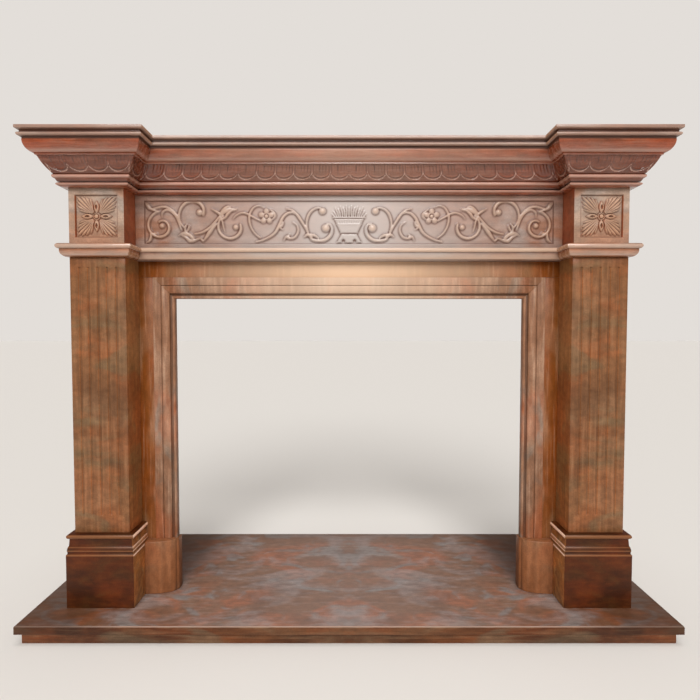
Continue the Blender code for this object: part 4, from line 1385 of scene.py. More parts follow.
        # Painted shade round the rosette and along the inner corner of the sunk square.
        hollow = carving.hollow(2, self.rosette * self.rosette_hollow)
        hollow = hollow * np.clip(inside / 0.001, 0, 1)
        corner = np.clip(1 - np.abs(inside - splay) / self.square_shade_width, 0, 1)
        hollow = np.maximum(hollow, corner * self.square_shade)
        edge = np.minimum(width / 2 - np.abs(u), tall / 2 - np.abs(v))
        depth = sunk - carving.height + arris_drop(edge, self.arris)
        # A painted highlight on the rosette's highest parts.
        marks = {"hollow": hollow, "crest": (carving.height / self.rosette) ** 2}
        bm = carved_block(across + box.middle[0], up + box.middle[2], depth, marks, box)
        self.lay("rosette_block", bm, BLOCK_STONE, "frieze_block", slot="frieze_stone", sharp=58)


# Each lobe of a rosette leaf in the first quarter, as shares of the square's half:
# base, bend and tip, half-width and height.
ROSETTE_LOBES: tuple[tuple[Point, Point, Point, float, float], ...] = (
    ((0.17, 0.17), (0.56, 0.56), (0.91, 0.91), 0.105, 1.00),
    ((0.16, 0.20), (0.44, 0.62), (0.72, 0.93), 0.092, 0.92),
    ((0.20, 0.16), (0.62, 0.44), (0.93, 0.72), 0.092, 0.92),
    ((0.14, 0.22), (0.32, 0.60), (0.51, 0.91), 0.086, 0.86),
    ((0.22, 0.14), (0.60, 0.32), (0.91, 0.51), 0.086, 0.86),
    ((0.13, 0.26), (0.22, 0.56), (0.31, 0.84), 0.074, 0.78),
    ((0.26, 0.13), (0.56, 0.22), (0.84, 0.31), 0.074, 0.78),
)
# A lobe's half-width at its root, as a share of the square's half, its widths further along as
# shares of its half-width, and how full its section is.
LOBE_ROOT = 0.026
LOBE_SHAPE = (0.66, 0.92, 1.0, 0.5)
LOBE_FULLNESS = 1.15
# A bud: where it starts and ends, its half-widths and those of its pierced eye, as shares of
# the square's half, and the dark line round it.
BUD_REACH = (0.22, 0.73)
BUD_SHAPE = (0.05, 0.125, 0.140, 0.09, 0.03)
EYE_SHAPE = (0.03, 0.060, 0.030)
BUD_CLEARANCE = 0.0016
# The heights of a bud and its eye, as shares of the rosette's.
BUD_RISE, EYE_DEPTH = 0.92, 0.9
# The boss and the button on it: radius, rise and foot; and the ring cut between them: radius,
# half-width in metres and depth. The others are shares.
BOSS, BUTTON = (0.185, 0.8, 0.1), (0.085, 0.45, 0.6)
BOSS_RING = (0.115, 0.0010, 0.55)
# The width of the eased arrises of the imposts and of the moulding that carries them across.
IMPOST_ARRIS = 0.00072


def ring_line(radius: float) -> np.ndarray:
    """Draw a full circle about the middle."""
    turn = np.linspace(0, math.tau, 33)
    return np.stack([radius * np.cos(turn), radius * np.sin(turn)], 1)


def impost_profile(bottom: float, top: float) -> list[Point]:
    """Draw the impost: a foot, an ovolo, a quirk and a bead.

    Args:
        bottom: Its underside.
        top: Its top.

    Returns:
        The profile.
    """
    foot, neck, tip, bead, quirk = 0.004, 0.020, 0.028, 0.0155, 0.005
    seat = top - bead
    ovolo = seat - quirk
    line = Profile(foot, bottom).arc((foot, ovolo), (neck - foot, ovolo - bottom), -90, 0)
    return Section.spaced(line.to(neck, seat).bead(neck, tip, seat, bead, 12).clean())


@dataclass
class Surround(Assembly):
    """The flat slips and the moulded architrave of the fire opening."""

    band: float = 0.024
    quirk: float = 0.002
    quirk_depth: float = 0.0030
    cyma_sink: float = 0.0010
    cyma_depth: float = 0.0048
    hollow: float = 0.008
    lip: float = 0.008
    lip_depth: float = 0.0075
    lip_quirk: float = 0.0040
    lip_round: float = 0.002
    cyma_turn: Point = (0.004, 0.0018)
    hollow_turn: Point = (0.003, 0.0020)
    hollow_fall: float = 0.0025
    width: float = 0.066
    arris: float = 0.0007
    moulding_arris: float = 0.0005

    def build(self) -> None:
        """Build the slips and the architrave."""
        for name in ("slip_left", "slip_right", "slip_head"):
            bm = ease(block(Box.of(name)), self.arris)
            self.piece(f"flat_{name}", bm, SLIP_STONE, name)
        self.build_architrave()

    def section(self) -> list[Point]:
        """Draw the architrave's section.

        Returns:
            Points of inset from its outer edge and depth from its front.
        """
        start = self.band + self.quirk
        lip = self.width - self.lip
        stop = lip - self.hollow
        run, fall = self.cyma_turn
        line = Profile(0.0, 0.0).to(self.band, 0.0)
        line.to(self.band + self.quirk * 0.4, self.quirk_depth).to(start, self.quirk_depth)
        line.arc((start + run, self.cyma_sink + fall), self.cyma_turn, 180, 270, 5)
        line.arc((start + run, self.cyma_sink + self.cyma_depth),
                 (stop - start - run, self.cyma_depth), -90, 0, 10)
        line.arc((stop + self.hollow_turn[0], self.lip_depth + self.hollow_fall),
                 self.hollow_turn, 180, 90, 4)
        line.to(lip, self.lip_depth + self.lip_quirk).to(lip, self.lip_depth)
        line.to(self.width - self.lip_round, self.lip_depth)
        return line.to(self.width, self.lip_depth + self.lip_round).clean()

    def build_architrave(self) -> None:
        """Build the two legs and the head, mitred together."""
        head = Box.of("architrave_head")
        leg = Box.of("architrave_left")
        moulding = self.section()
        # Painted shade in the architrave's quirks and hollows.
        reader = Section([(-sink, inset) for inset, sink in moulding],
                         reach=0.008, full=0.004)
        section = [(inset, head.front + sink) for inset, sink in moulding]
        section += [(self.width, head.back), (0.0, head.back)]
        for name, sign in (("architrave_left", -1), ("architrave_right", 1)):
            low = [Vector((sign * (-leg.left - inset), y, leg.bottom)) for inset, y in section]
            high = [Vector((point.x, point.y, leg.top - inset))
                    for point, (inset, _) in zip(low, section)]
            self.leg(name, low, high, lambda place: reader.marks(-leg.left - abs(place.x)))
        left = [Vector((head.left + inset, y, head.top - inset)) for inset, y in section]
        right = [Vector((-point.x, point.y, point.z)) for point in left]
        self.leg("architrave_head", left, right, lambda place: reader.marks(head.top - place.z))

    def leg(self, name: str, start: list[Vector], end: list[Vector], marks: Marks) -> None:
        """Draw one length of the architrave from its section at one end to the other.

        Args:
            name: The node it stands for.
            start: The section's corners at the first end.
            end: The same corners at the other end.
            marks: Gives what the finish reads at a place on it.
        """
        bm = bmesh.new()
        face = bm.faces.new([bm.verts.new(point) for point in start])
        made = bmesh.ops.extrude_face_region(bm, geom=[face])["geom"]
        for vert in verts_in(made):
            index = min(range(len(start)), key=lambda k: (start[k] - vert.co).length)
            vert.co = end[index]
        ease(bm, self.moulding_arris, MOULDED)
        self.piece(f"moulded_{name}", bm, ARCHITRAVE_STONE, name, marks=marks)


class Ornament:
    """The frieze's carving, drawn for one half in metres from the middle of its field."""

    STEM_RISE = 0.0055
    BALL_RISE = 0.0062
    # Strokes up to the first half-width, in millimetres, are stems and stand a little lower;
    # those over the second are leaves with a groove.
    STEM_WIDTH, STEM_SHARE = 4.6, 0.9
    LEAF_WIDTH, LEAF_GROOVE = 6.0, 0.0011

    # Centre, start radius, end radius, start angle, sweep, half-widths.
    SCROLLS = (
        ((0.583, -0.012), 0.046, 0.015, 80, -375, (0.0040, 0.0048, 0.0052, 0.0045, 0.0034)),
        ((0.477, 0.028), 0.056, 0.025, -52, 242, (0.0030, 0.0044, 0.0055, 0.0060, 0.0044)),
        ((0.366, -0.014), 0.042, 0.030, 55, -250, (0.0036, 0.0046, 0.0052, 0.0056, 0.0042)),
    )
    # Centre, radius and height above the ground.
    BALLS = (
        ((0.580, -0.010), 0.0085, 1.0), ((0.463, 0.031), 0.0100, 1.0),
        ((0.351, -0.015), 0.0090, 1.0), ((0.082, 0.035), 0.0112, 1.1),
        ((0.072, -0.017), 0.0128, 1.1),
    )
    # Drawn points in tenths of a millimetre, and half-widths in millimetres.
    STROKES = (
        (((6150, 410), (6000, 435), (5810, 480), (5620, 460), (5430, 340), (5280, 140)),
          (3.0, 4.5, 4.0)),
        (((5805, 190), (5780, 315), (5660, 386), (5505, 340), (5360, 180), (5270, -30),
          (5205, -220)), (2.5, 4.5, 3.0)),
        (((5916, 354), (6055, 380), (6194, 450), (6280, 550), (6305, 625)), (2.5, 5.5, 2.0)),
        (((6119, 429), (6205, 525), (6250, 610)), (3.0, 4.0, 1.5)),
        (((6147, -331), (6156, -481), (6205, -575), (6275, -615)), (4.5, 5.0, 2.0)),
        (((6130, -342), (6034, -331), (5948, -352)), (2.0, 4.0, 1.5)),
        (((5081, -267), (5081, -138), (5034, -53)), (3.0, 4.0, 1.5)),
        (((5028, -278), (4963, -160), (4963, -85)), (3.0, 3.5, 1.5)),
        (((4846, -481), (4974, -374), (5145, -335), (5291, -408)), (6.0, 7.0, 2.0)),
        (((4621, -481), (4781, -545), (4931, -565), (5060, -460), (5188, -395)), (3.0, 7.0, 3.0)),
        (((4781, -352), (4632, -327), (4503, -278), (4353, -181), (4182, -21), (4011, 183)),
          (3.0, 4.5, 4.0)),
        (((4535, -588), (4450, -481), (4332, -310), (4203, -138), (4096, -31)), (2.0, 7.0, 3.5)),
        (((4621, -481), (4567, -534), (4535, -588)), (3.0, 4.0, 2.5)),
        (((4011, 183), (3882, 311), (3711, 407), (3476, 414)), (4.0, 8.0, 2.0)),
        (((3936, 93), (3829, 161), (3775, 247), (3647, 354), (3497, 384)), (3.0, 5.0, 2.0)),
        (((4011, 247), (3904, 386), (3775, 482), (3668, 482)), (3.0, 5.0, 2.0)),
        (((4000, 247), (4096, 328), (4268, 414)), (4.0, 5.0, 1.5)),
        (((4000, 161), (3929, 33), (3893, -138), (3857, -278)), (3.0, 3.5, 2.0)),
        (((3599, 112), (3521, 201), (3388, 278), (3255, 294), (3099, 241), (2944, 152),
          (2755, 57)), (2.0, 3.8, 3.0)),
        (((2651, 463), (2789, 516), (2948, 463), (3059, 307), (3095, 112), (3051, -110),
          (2933, -321), (2755, -470)), (2.0, 4.2, 3.2)),
        (((2445, 396), (2327, 307), (2291, 196), (2362, 108)), (2.5, 4.5, 3.0)),
        (((2882, -594), (2655, -536), (2433, -425), (2278, -292), (2156, -66), (2056, 145),
          (1918, 278), (1745, 307), (1612, 241)), (3.0, 5.5, 3.0)),
        (((1934, 423), (1756, 374), (1612, 245), (1457, 19), (1323, -203), (1275, -321)),
          (2.5, 4.8, 3.5)),
        (((1741, 5), (1612, -88), (1579, -265), (1668, -439), (1823, -492), (1945, -443),
          (1856, -381)), (2.0, 4.4, 3.0)),
        (((1856, -443), (1956, -443), (2029, -565)), (3.0, 4.0, 1.5)),
        (((2047, 12), (2078, -88), (2145, -150), (2056, -221)), (3.0, 4.5, 2.0)),
        (((1268, -321), (1319, -66), (1275, 179), (1164, 356), (990, 449), (857, 434)),
          (3.0, 4.4, 3.0)),
        (((1168, -443), (1279, -376), (1390, -447)), (5.0, 5.5, 2.0)),
        (((1201, -399), (1146, -521), (946, -560), (735, -532), (573, -387), (524, -199),
          (586, -66), (691, -43)), (4.0, 6.2, 3.0)),
        (((1257, -354), (1079, -399), (946, -487)), (3.0, 5.0, 2.0)),
    )
    FLOWER = (0.256, 0.019)
    # How far along a petal its half-widths are given, the half-widths, its rise, how much
    # higher every other petal stands, and its groove.
    PETAL = ((0.006, 0.011, 0.0160, 0.0185), (0.0045, 0.0078, 0.0091, 0.0070))
    PETAL_RISE, PETAL_STEP, PETAL_GROOVE = 0.0056, 0.0003, 0.0012
    # The flower's ring: radius, half-width, depth; its middle: radius, rise, foot; its eye:
    # half-width, depth.
    FLOWER_RING, FLOWER_MIDDLE, FLOWER_EYE = (0.0068, 0.0012, 0.0040), (0.0058, 0.0030, 0.0034), (
        0.0018, 0.0022)
    # The basket's flat shapes: their outlines, rises and rounded edges.
    PLATES = (
        (((-0.026, -0.0325), (0.026, -0.0325), (0.036, -0.012), (0.0455, 0.012),
          (-0.0455, 0.012), (-0.036, -0.012)), 0.0044, 0.003),
        (((-0.038, -0.0625), (0.038, -0.0625), (0.0235, -0.0350), (-0.0235, -0.0350)),
         0.0044, 0.0015),
        (((-0.039, -0.0625), (0.039, -0.0625), (0.038, -0.0590), (-0.038, -0.0590)),
         0.0052, 0.0015),
    )
    # The basket's bands: height, reach either way and half-width in millimetres.
    BANDS = ((0.0150, 0.0485, 2.6), (0.0095, 0.0450, 1.2), (-0.0060, 0.0385, 1.0),
             (-0.0230, 0.0305, 1.1), (-0.0310, 0.0270, 1.4))
    BAND_RISE = 0.0054
    # The grooves between its reeds: how far apart and how high, at the top and at the bottom.
    REED = ((0.0078, 0.0065), (0.0070, -0.0035))
    # The arches of its foot: how far out, from what height to what height, half-widths, depth.
    ARCH_PLACE, ARCH_ENDS, ARCH_SHAPE, ARCH_DEPTH = 0.0175, (-0.0650, -0.0570), (
        0.0068, 0.0062), 0.0060
    BASKET_LEAF_RISE = 0.0048
    # Half of the basket's leaves: base, bend, tip and half-width in millimetres.
    BASKET_LEAVES = (
        ((0.000, 0.016), (0.000, 0.034), (0.000, 0.049), 3.4),
        ((0.008, 0.016), (0.007, 0.034), (0.009, 0.052), 2.8),
        ((0.013, 0.016), (0.014, 0.033), (0.018, 0.047), 3.2),
        ((0.020, 0.016), (0.021, 0.032), (0.027, 0.051), 2.8),
        ((0.026, 0.016), (0.029, 0.030), (0.034, 0.043), 3.2),
        ((0.031, 0.016), (0.036, 0.030), (0.043, 0.047), 2.7),
        ((0.036, 0.016), (0.042, 0.026), (0.049, 0.036), 2.9),
        ((0.041, 0.016), (0.047, 0.021), (0.054, 0.028), 2.2),
    )

    def carve(self, carving: Relief) -> None:
        """Carve both halves and the basket between them.

        Args:
            carving: The frieze's field.
        """
        for sign in (-1, 1):
            mirror = np.array((sign, 1.0))
            for centre, start, end, angle, sweep, widths in self.SCROLLS:
                line = spiral(centre, start, end, angle, sweep) * mirror
                carving.stroke(line, widths, self.STEM_RISE)
            for knots, widths in self.STROKES:
                share = self.STEM_SHARE if max(widths) < self.STEM_WIDTH else 1.0
                groove = self.LEAF_GROOVE if max(widths) > self.LEAF_WIDTH else 0.0
                line = smooth_run(np.array(knots) / 10000) * mirror
                carving.stroke(line, [w / 1000 for w in widths], self.STEM_RISE * share, groove)
            for centre, radius, rise in self.BALLS:
                carving.ball((centre[0] * sign, centre[1]), radius, self.BALL_RISE * rise)
            self.flower(carving, (self.FLOWER[0] * sign, self.FLOWER[1]))
        self.basket(carving)

    def flower(self, carving: Relief, centre: Point) -> None:
        """Carve the five-petalled flower.

        Args:
            carving: The frieze's field.
            centre: The flower's middle.
        """
        for petal in range(5):
            turn = math.radians(90 + 72 * petal)
            along = np.array((math.cos(turn), math.sin(turn)))
            middle = np.array(centre)
            places, widths = self.PETAL
            line = np.array([middle + along * reach for reach in places])
            carving.stroke(line, widths, self.PETAL_RISE + self.PETAL_STEP * (petal % 2),
                           self.PETAL_GROOVE)
        radius, width, depth = self.FLOWER_RING
        carving.sink(ring_line(radius) + np.array(centre), (width, width), depth)
        carving.ball(centre, *self.FLOWER_MIDDLE)
        width, depth = self.FLOWER_EYE
        carving.sink(np.array([centre, centre]), (width, width), depth)

    def basket(self, carving: Relief) -> None:
        """Carve the flower basket on its arched foot.

        Args:
            carving: The frieze's field.
        """
        bowl, foot, base = self.PLATES
        carving.plate(*bowl)
        for level, reach, width in self.BANDS:
            line = np.array(((-reach, level), (0.0, level), (reach, level)))
            carving.stroke(line, (width / 1000,) * 3, self.BAND_RISE)
        (wide, top), (narrow, low) = self.REED
        for index in range(-5, 6):
            line = np.array(((index * wide, top), (index * narrow, low)))
            carving.sink(line, (0.0009, 0.0009), 0.0010)
        carving.plate(*foot)
        carving.plate(*base)
        for place in (-self.ARCH_PLACE, self.ARCH_PLACE):
            line = np.array([(place, level) for level in self.ARCH_ENDS])
            carving.sink(line, self.ARCH_SHAPE, self.ARCH_DEPTH)
        for base, bend, tip, width in self.BASKET_LEAVES:
            for sign in (-1, 1):
                line = smooth_run((base, bend, tip), 6) * np.array((sign, 1.0))
                carving.stroke(line, (0.0018, width / 1000, 0.0006), self.BASKET_LEAF_RISE,
                               full=1.2)


@dataclass
class Frieze(Assembly):
    """The carved panel between the pilasters and the moulding under it."""

    rail_top: float = 0.0175
    rail_bottom: float = 0.0155
    stile: float = 0.029
    sink: float = 0.0055
    splay: float = 0.003
    cell: float = 0.00160
    arris: float = 0.0009
    carving_fade: Point = (0.0005, 0.0015)
    # Painted shade round the carving and along the corners of the sinking; and how far the raised
    # carving is laid paler, less on the basket: partly a painted highlight, partly a warmer tint.
    carving_hollow: float = 0.0013
    corner_shade: float = 0.85
    corner_width: float = 0.0026
    basket_half: float = 0.058
    basket_worn: float = 0.2
    scroll_worn: float = 0.5

    def build(self) -> None:
        """Build the moulding and the panel."""
        under = Box.of("frieze_moulding")
        half = Box.of("slip_head").right

        def plan(projection: float) -> list[Point]:
            """Return the plan between the two imposts' returns."""
            reach, front = half - projection, Box.of("frieze_panel").front - projection
            return [(-reach, self.wall), (-reach, front), (reach, front), (reach, self.wall)]
        profile = impost_profile(under.bottom, under.top)
        bm = ease(stack(plan, profile), IMPOST_ARRIS, MOULDED)
        # The moulding's marks paint shade in its quirks and a highlight on its crests.
        self.piece("frieze_under_moulding", bm, FRIEZE_STONE, "frieze_moulding", "frieze_stone",
                   marks=Section(profile).at)
        self.build_panel()

    def lines(self, low: float, high: float, low_rail: float, high_rail: float) -> np.ndarray:
        """Lay the grid lines across one direction of the panel.

        Args:
            low: The panel's lower edge.
            high: Its upper edge.
            low_rail: The width of the flat at the lower edge.
            high_rail: The width of the flat at the upper edge.

        Returns:
            The lines.
        """
        start, stop = low + low_rail, high - high_rail
        count = int((stop - start) / self.cell)
        ends = []
        for edge, foot, way in ((low, start, 1), (high, stop, -1)):
            ends += [edge, edge + way * self.arris, edge + way * self.arris * 2]
            ends += [foot - way * share * self.splay
                     for share in (0.25, 0.5, 0.75, 1.0, 1.25, 1.6)]
        return np.unique(np.round([*ends, *np.linspace(start, stop, count)], 6))

    def build_panel(self) -> None:
        """Build the panel: flat rails, a splayed sinking and the carving on its ground."""
        box = Box.of("frieze_panel")
        across = self.lines(box.left, box.right, self.stile, self.stile)
        up = self.lines(box.bottom, box.top, self.rail_bottom, self.rail_top)
        start, stop = box.bottom + self.rail_bottom, box.top - self.rail_top
        half = box.right - self.stile
        middle = (start + stop) / 2
        u, v = np.meshgrid(across, up)
        inside = np.minimum(half - np.abs(u), np.minimum(v - start, stop - v))
        ground = self.sink * np.clip((inside + self.splay) / self.splay, 0, 1)
        carving = Relief(across, up - middle)
        Ornament().carve(carving)
        margin, width = self.carving_fade
        carving.height *= np.clip((inside + margin) / width, 0, 1)
        carving.soften(2)
        # Painted shade round the carving and along the corners of the sinking.
        hollow = carving.hollow(2, self.carving_hollow)
        corner = np.clip(1 - np.abs(inside) / self.corner_width, 0, 1) * self.corner_shade
        hollow = np.maximum(hollow, corner)
        edge = np.minimum(box.right - np.abs(u), np.minimum(v - box.bottom, box.top - v))
        depth = ground - carving.height + arris_drop(edge, self.arris)
        # The raised carving laid paler and warmer, less on the basket: partly a painted highlight,
        # partly a tint.
        wear_and_highlight = np.where(np.abs(u) < self.basket_half, self.basket_worn, self.scroll_worn)
        marks = {"hollow": hollow, "crest": carving.height / self.sink * wear_and_highlight}
        bm = carved_block(across, up, depth, marks, box)
        self.piece("carved_frieze", bm, FRIEZE_STONE, "frieze_panel", "frieze_stone", 62)


@dataclass
class Cornice(Assembly):
    """The bed moulding with its leaf band, and the shelf."""

    setback: float = 0.077
    pitch: float = 0.0555
    corner_leaf: float = 0.008
    cell: float = 0.0024
    bead_low: float = 0.013
    neck: float = 0.0085
    bead_high: float = 0.0115
    root: float = 0.006
    low_tip: float = 0.024
    neck_foot: float = 0.020
    neck_head: float = 0.025
    high_tip: float = 0.031
    ovolo_foot: float = 0.060
    ovolo_swell: float = 0.0215
    band: float = 0.0435
    fillet: float = 0.0045
    band_foot: float = 0.028
    band_head: float = 0.056
    band_bulge: float = 0.003
    leaf_tip: float = 0.0045
    leaf_spring: float = 0.0215
    leaf_lean: float = 0.12
    folds: tuple[Point, ...] = ((-0.62, 0.7), (-0.22, 1.0), (0.16, 0.8), (0.52, 0.9))
    fold_width: float = 0.075
    fold_depth: float = 0.0020
    # Painted shade on the leaves' bodies and on the ground between them.
    band_shade: float = 0.42
    ground_shade: float = 0.6
    rim_width: float = 0.0018
    rim_rise: float = 0.0034
    # How fast the painted highlight on a leaf's rim fades above its spring.
    rim_fade: float = 0.006
    body_rise: float = 0.0038
    body_reach: float = 0.007
    # How much painted highlight the beads get.
    bead_crest: float = 0.45
    shelf_projection: float = 0.0945
    shelf_fillet: float = 0.009
    shelf_groove: float = 0.0085
    shelf_bead: float = 0.0105
    shelf_seat: float = 0.081
    shelf_bead_reach: Point = (0.085, 0.0915)
    shelf_hollow: Point = (0.0885, 0.0035)
    shelf_bevel: float = 0.001
    shelf_round: float = 0.0018
    shelf_arris: float = 0.0007
    shelf_angle: float = 40.0

    def __post_init__(self) -> None:
        """Read where the frieze blocks stand."""
        super().__post_init__()
        self.block = Box.of("frieze_block_right")

    def plan(self, projection: float) -> list[Point]:
        """Draw the plan that breaks forward over both pilasters.

        Args:
            projection: How far the moulding stands out.

        Returns:
            The plan's corners.
        """
        near = self.block.front - projection
        far = near + self.setback
        side, turn = self.block.right + projection, self.block.left - projection
        return [(-side, self.wall), (-side, near), (-turn, near), (-turn, far),
                (turn, far), (turn, near), (side, near), (side, self.wall)]

    def build(self) -> None:
        """Build the bed moulding and the shelf."""
        self.build_bed()
        self.build_shelf()

    def rows(self, bottom: float, top: float) -> tuple[list[Point], list[float]]:
        """Draw the bed moulding's profile and say where each point lies on the leaf band.

        Args:
            bottom: Its underside.
            top: Its top.

        Returns:
            The profile, and each point's height up the band, negative off it.
        """
        neck = bottom + self.bead_low
        high = neck + self.neck
        foot = high + self.bead_high
        head = foot + self.band
        line = Profile(self.root, bottom).bead(self.root, self.low_tip, bottom, self.bead_low, 8)
        line.points.pop()
        line.to(self.neck_foot, neck).to(self.neck_head, high)
        line.bead(self.neck_head, self.high_tip, high, self.bead_high, 8)
        below = line.clean()
        levels = np.linspace(0, 1, 25)
        band = [(self.band_foot + (self.band_head - self.band_foot) * level
                 + self.band_bulge * math.sin(math.pi * level), foot + self.band * level)
                for level in levels]
        ovolo = head + self.fillet
        over = Profile(self.ovolo_foot, head + JOINT).to(self.ovolo_foot, ovolo)
        over.arc((self.ovolo_foot, top), (self.ovolo_swell, top - ovolo), -84, 0, 10)
        above = over.clean()
        places = [float(level * self.band) for level in levels]
        return below + band + above, [-1.0] * len(below) + places + [-1.0] * len(above)

    def leaf(self, offset: np.ndarray, half: float, level: float) -> np.ndarray:
        """Return how far a leaf stands out of the band's ground.

        Args:
            offset: Distance along the band from the leaf's middle.
            half: Half of the leaf's width.
            level: Height above the band's foot.

        Returns:
            The swelling at each offset, and how much painted highlight of its rim each gets.
        """
        wide = half - 0.0003
        tall = self.leaf_spring - self.leaf_tip
        below = min(level - self.leaf_spring, 0.0)
        ratio = np.sqrt((offset / wide) ** 2 + (below / tall) ** 2) + 1e-9
        slope = np.sqrt((offset / wide ** 2) ** 2 + (below / tall ** 2) ** 2) / ratio + 1e-9
        inside = np.where(below < 0, (1 - ratio) / slope, wide - np.abs(offset))
        low = min(-below / tall, 1.0)
        rim = self.rim_rise * (0.45 + 0.55 * low)
        keen = self.rim_width * (0.6 + 0.4 * low)
        rim = rim * np.exp(-((inside - self.rim_width * low) / keen) ** 2)
        rise = np.clip((inside - self.rim_width * (1.2 + 1.4 * low)) / self.body_reach, 0, 1)
        body = self.body_rise * rise * rise * (3 - 2 * rise) * (1 - 0.25 * (offset / wide) ** 2)
        folds = sum(deep * np.exp(-((offset / wide - middle) / self.fold_width) ** 2)
                    for middle, deep in self.folds)
        vein = self.fold_depth * folds * min(max(level / self.leaf_spring - 0.45, 0.0), 1.0)
        raised = np.where(inside > 0, np.maximum(rim, body - vein), 0.0)
        # A painted highlight along the rim, strongest low on the leaf and fading above its spring.
        bright = 0.7 + 0.3 * low
        bright = bright * math.exp(-max(level - self.leaf_spring, 0.0) / self.rim_fade)
        bright = bright * np.exp(-((inside - self.rim_width * low) / (self.rim_width * 0.8)) ** 2)
        return np.stack([raised, np.where((inside > 0) & (rim > body), bright, 0.0)])

    def swell(self, length: float, shares: np.ndarray, level: float,
              lean: float) -> tuple[np.ndarray, np.ndarray]:
        """Return the leaves' swelling along one straight run of the band.

        Args:
            length: The run's length at mid-height.
            shares: Places along it, 0 to 1.
            level: Height above the band's foot.
            lean: How far the leaves lean as they rise.

        Returns:
            The swelling at each place, and how much painted highlight of a rim each gets.
        """
        room = length - 2 * self.corner_leaf
        count = max(1, round(room / self.pitch))
        pitch = room / count
        start = self.corner_leaf
        place = shares * length
        inner = np.clip(np.minimum(place, length - place) / start, 0, 1)
        lent = place + lean * (level - self.band / 2) * inner
        phase = (lent - start) / pitch
        index = np.clip(np.floor(phase), 0, count - 1)
        made = self.leaf((phase - index - 0.5) * pitch, pitch / 2, level)
        from_end = np.minimum(lent, length - lent)
        corner = self.leaf(from_end, start, level)
        return tuple(np.where(from_end < start, corner, made))

    def build_bed(self) -> None:
        """Build the bed moulding from one grid laid round the plan."""
        box = Box.of("bed_moulding")
        profile, places = self.rows(box.bottom, box.top)
        middle = self.plan((self.band_foot + self.band_head) / 2)
        lengths = [math.dist(a, b) for a, b in zip(middle, middle[1:])]
        stops = [np.linspace(0, 1, max(6, int(length / self.cell)) + 1) for length in lengths]
        columns = sum(len(stop) - 1 for stop in stops) + 1
        heights, crests = np.zeros((2, len(profile), columns))
        spots = np.zeros((len(profile), columns, 3))
        for row, ((projection, height), place) in enumerate(zip(profile, places)):
            corners = self.plan(projection)
            column = 0
            for run, stop in enumerate(stops):
                a, b = np.array(corners[run]), np.array(corners[run + 1])
                way = (b - a) / np.hypot(*(b - a))
                out = np.array((-way[1], way[0]))
                bulge = rim = np.zeros(len(stop))
                if place >= 0:
                    lean = self.leaf_lean * -np.sign(round((a + b)[0], 6))
                    bulge, rim = self.swell(lengths[run], stop, place, lean)
                    bulge[[0, -1]] = self.leaf(np.zeros(1), self.corner_leaf, place)[0][0] * 0.5
                line = a + (b - a) * stop[:, None] + out * bulge[:, None]
                if run > 0:
                    line[0] = a
                line[-1] = b
                span = slice(column, column + len(stop))
                spots[row, span, :2] = line
                spots[row, span, 2] = height
                heights[row, span] = bulge
                crests[row, span] = rim
                column += len(stop) - 1
        self.lay_bed(profile, spots, heights, crests, places)

    def lay_bed(self, profile: list[Point], spots: np.ndarray, heights: np.ndarray,
                crests: np.ndarray, places: list[float]) -> None:
        """Lay the grid on its places, close it and dress it.

        Args:
            profile: The profile's points.
            spots: Where each crossing goes.
            heights: The leaves' swelling at each crossing.
            crests: How much painted highlight of a leaf's rim each crossing gets.
            places: Each row's height up the band, negative off it.
        """
        rows, columns = heights.shape
        # Painted shade round and on the leaves, on the ground between them and in the beads'
        # quirks; painted highlight on the rims and the beads.
        shelter = np.clip((blurred(heights, 2) - heights) / 0.0013, 0, 1)
        on_band = np.array(places)[:, None] >= 0
        reader = Section(profile)
        read = [reader.marks(height) for _, height in profile]
        body = np.where(heights < SAME_POINT, self.ground_shade, self.band_shade * (1 - crests))
        shelter = np.where(on_band, np.maximum(shelter, body), [[mark["hollow"]] for mark in read])
        crests = np.where(on_band, crests, [[mark["crest"] * self.bead_crest] for mark in read])
        bm = bmesh.new()
        layer = bm.verts.layers.float.new("hollow")
        rims = bm.verts.layers.float.new("crest")
        table = warped_grid(bm, columns, rows)
        for row in range(rows):
            for column in range(columns):
                vert = table[row][column]
                vert.co = spots[row, column]
                vert[layer] = float(shelter[row, column])
                vert[rims] = float(crests[row, column])
        ties = [bm.edges.new((table[row][0], table[row][-1])) for row in (0, -1)]
        rim = [edge for edge in bm.edges if edge.is_boundary]
        for row, tie in zip((0, rows - 1), ties):
            level = table[row][0].co.z
            flat = [edge for edge in rim
                    if all(abs(vert.co.z - level) < NO_LENGTH for vert in edge.verts)]
            bmesh.ops.edgeloop_fill(bm, edges=[*flat, tie])
        ends = {table[row][column] for row in range(rows) for column in (0, -1)}
        sides = [edge for edge in rim if all(vert in ends for vert in edge.verts)]
        bmesh.ops.edgeloop_fill(bm, edges=[*sides, *ties])
        self.piece("leaf_bed_moulding", bm, BED_STONE, "bed_moulding", sharp=50)

    def build_shelf(self) -> None:
        """Build the shelf: a seat, a bead, a groove and a square fillet."""
        box = Box.of("shelf")
        fillet = box.top - self.shelf_fillet
        groove = fillet - self.shelf_groove
        bead = groove - self.shelf_bead
        reach, edge, depth = self.shelf_projection, self.shelf_round, self.shelf_hollow[1]
        line = Profile(self.shelf_seat, box.bottom).to(self.shelf_seat, bead)
        line.bead(*self.shelf_bead_reach, bead, self.shelf_bead, 10)
        line.arc((self.shelf_hollow[0], groove + depth), (depth, depth), 215, 130, 5)
        line.to(reach - self.shelf_bevel, fillet).to(reach, fillet + self.shelf_bevel)
        line.to(reach, box.top - edge)
        line.arc((reach - edge, box.top - edge), (edge, edge), 0, 90, 4)
        profile = Section.spaced(line.clean(), reach=0.003)
        bm = ease(stack(self.plan, profile), self.shelf_arris, self.shelf_angle)
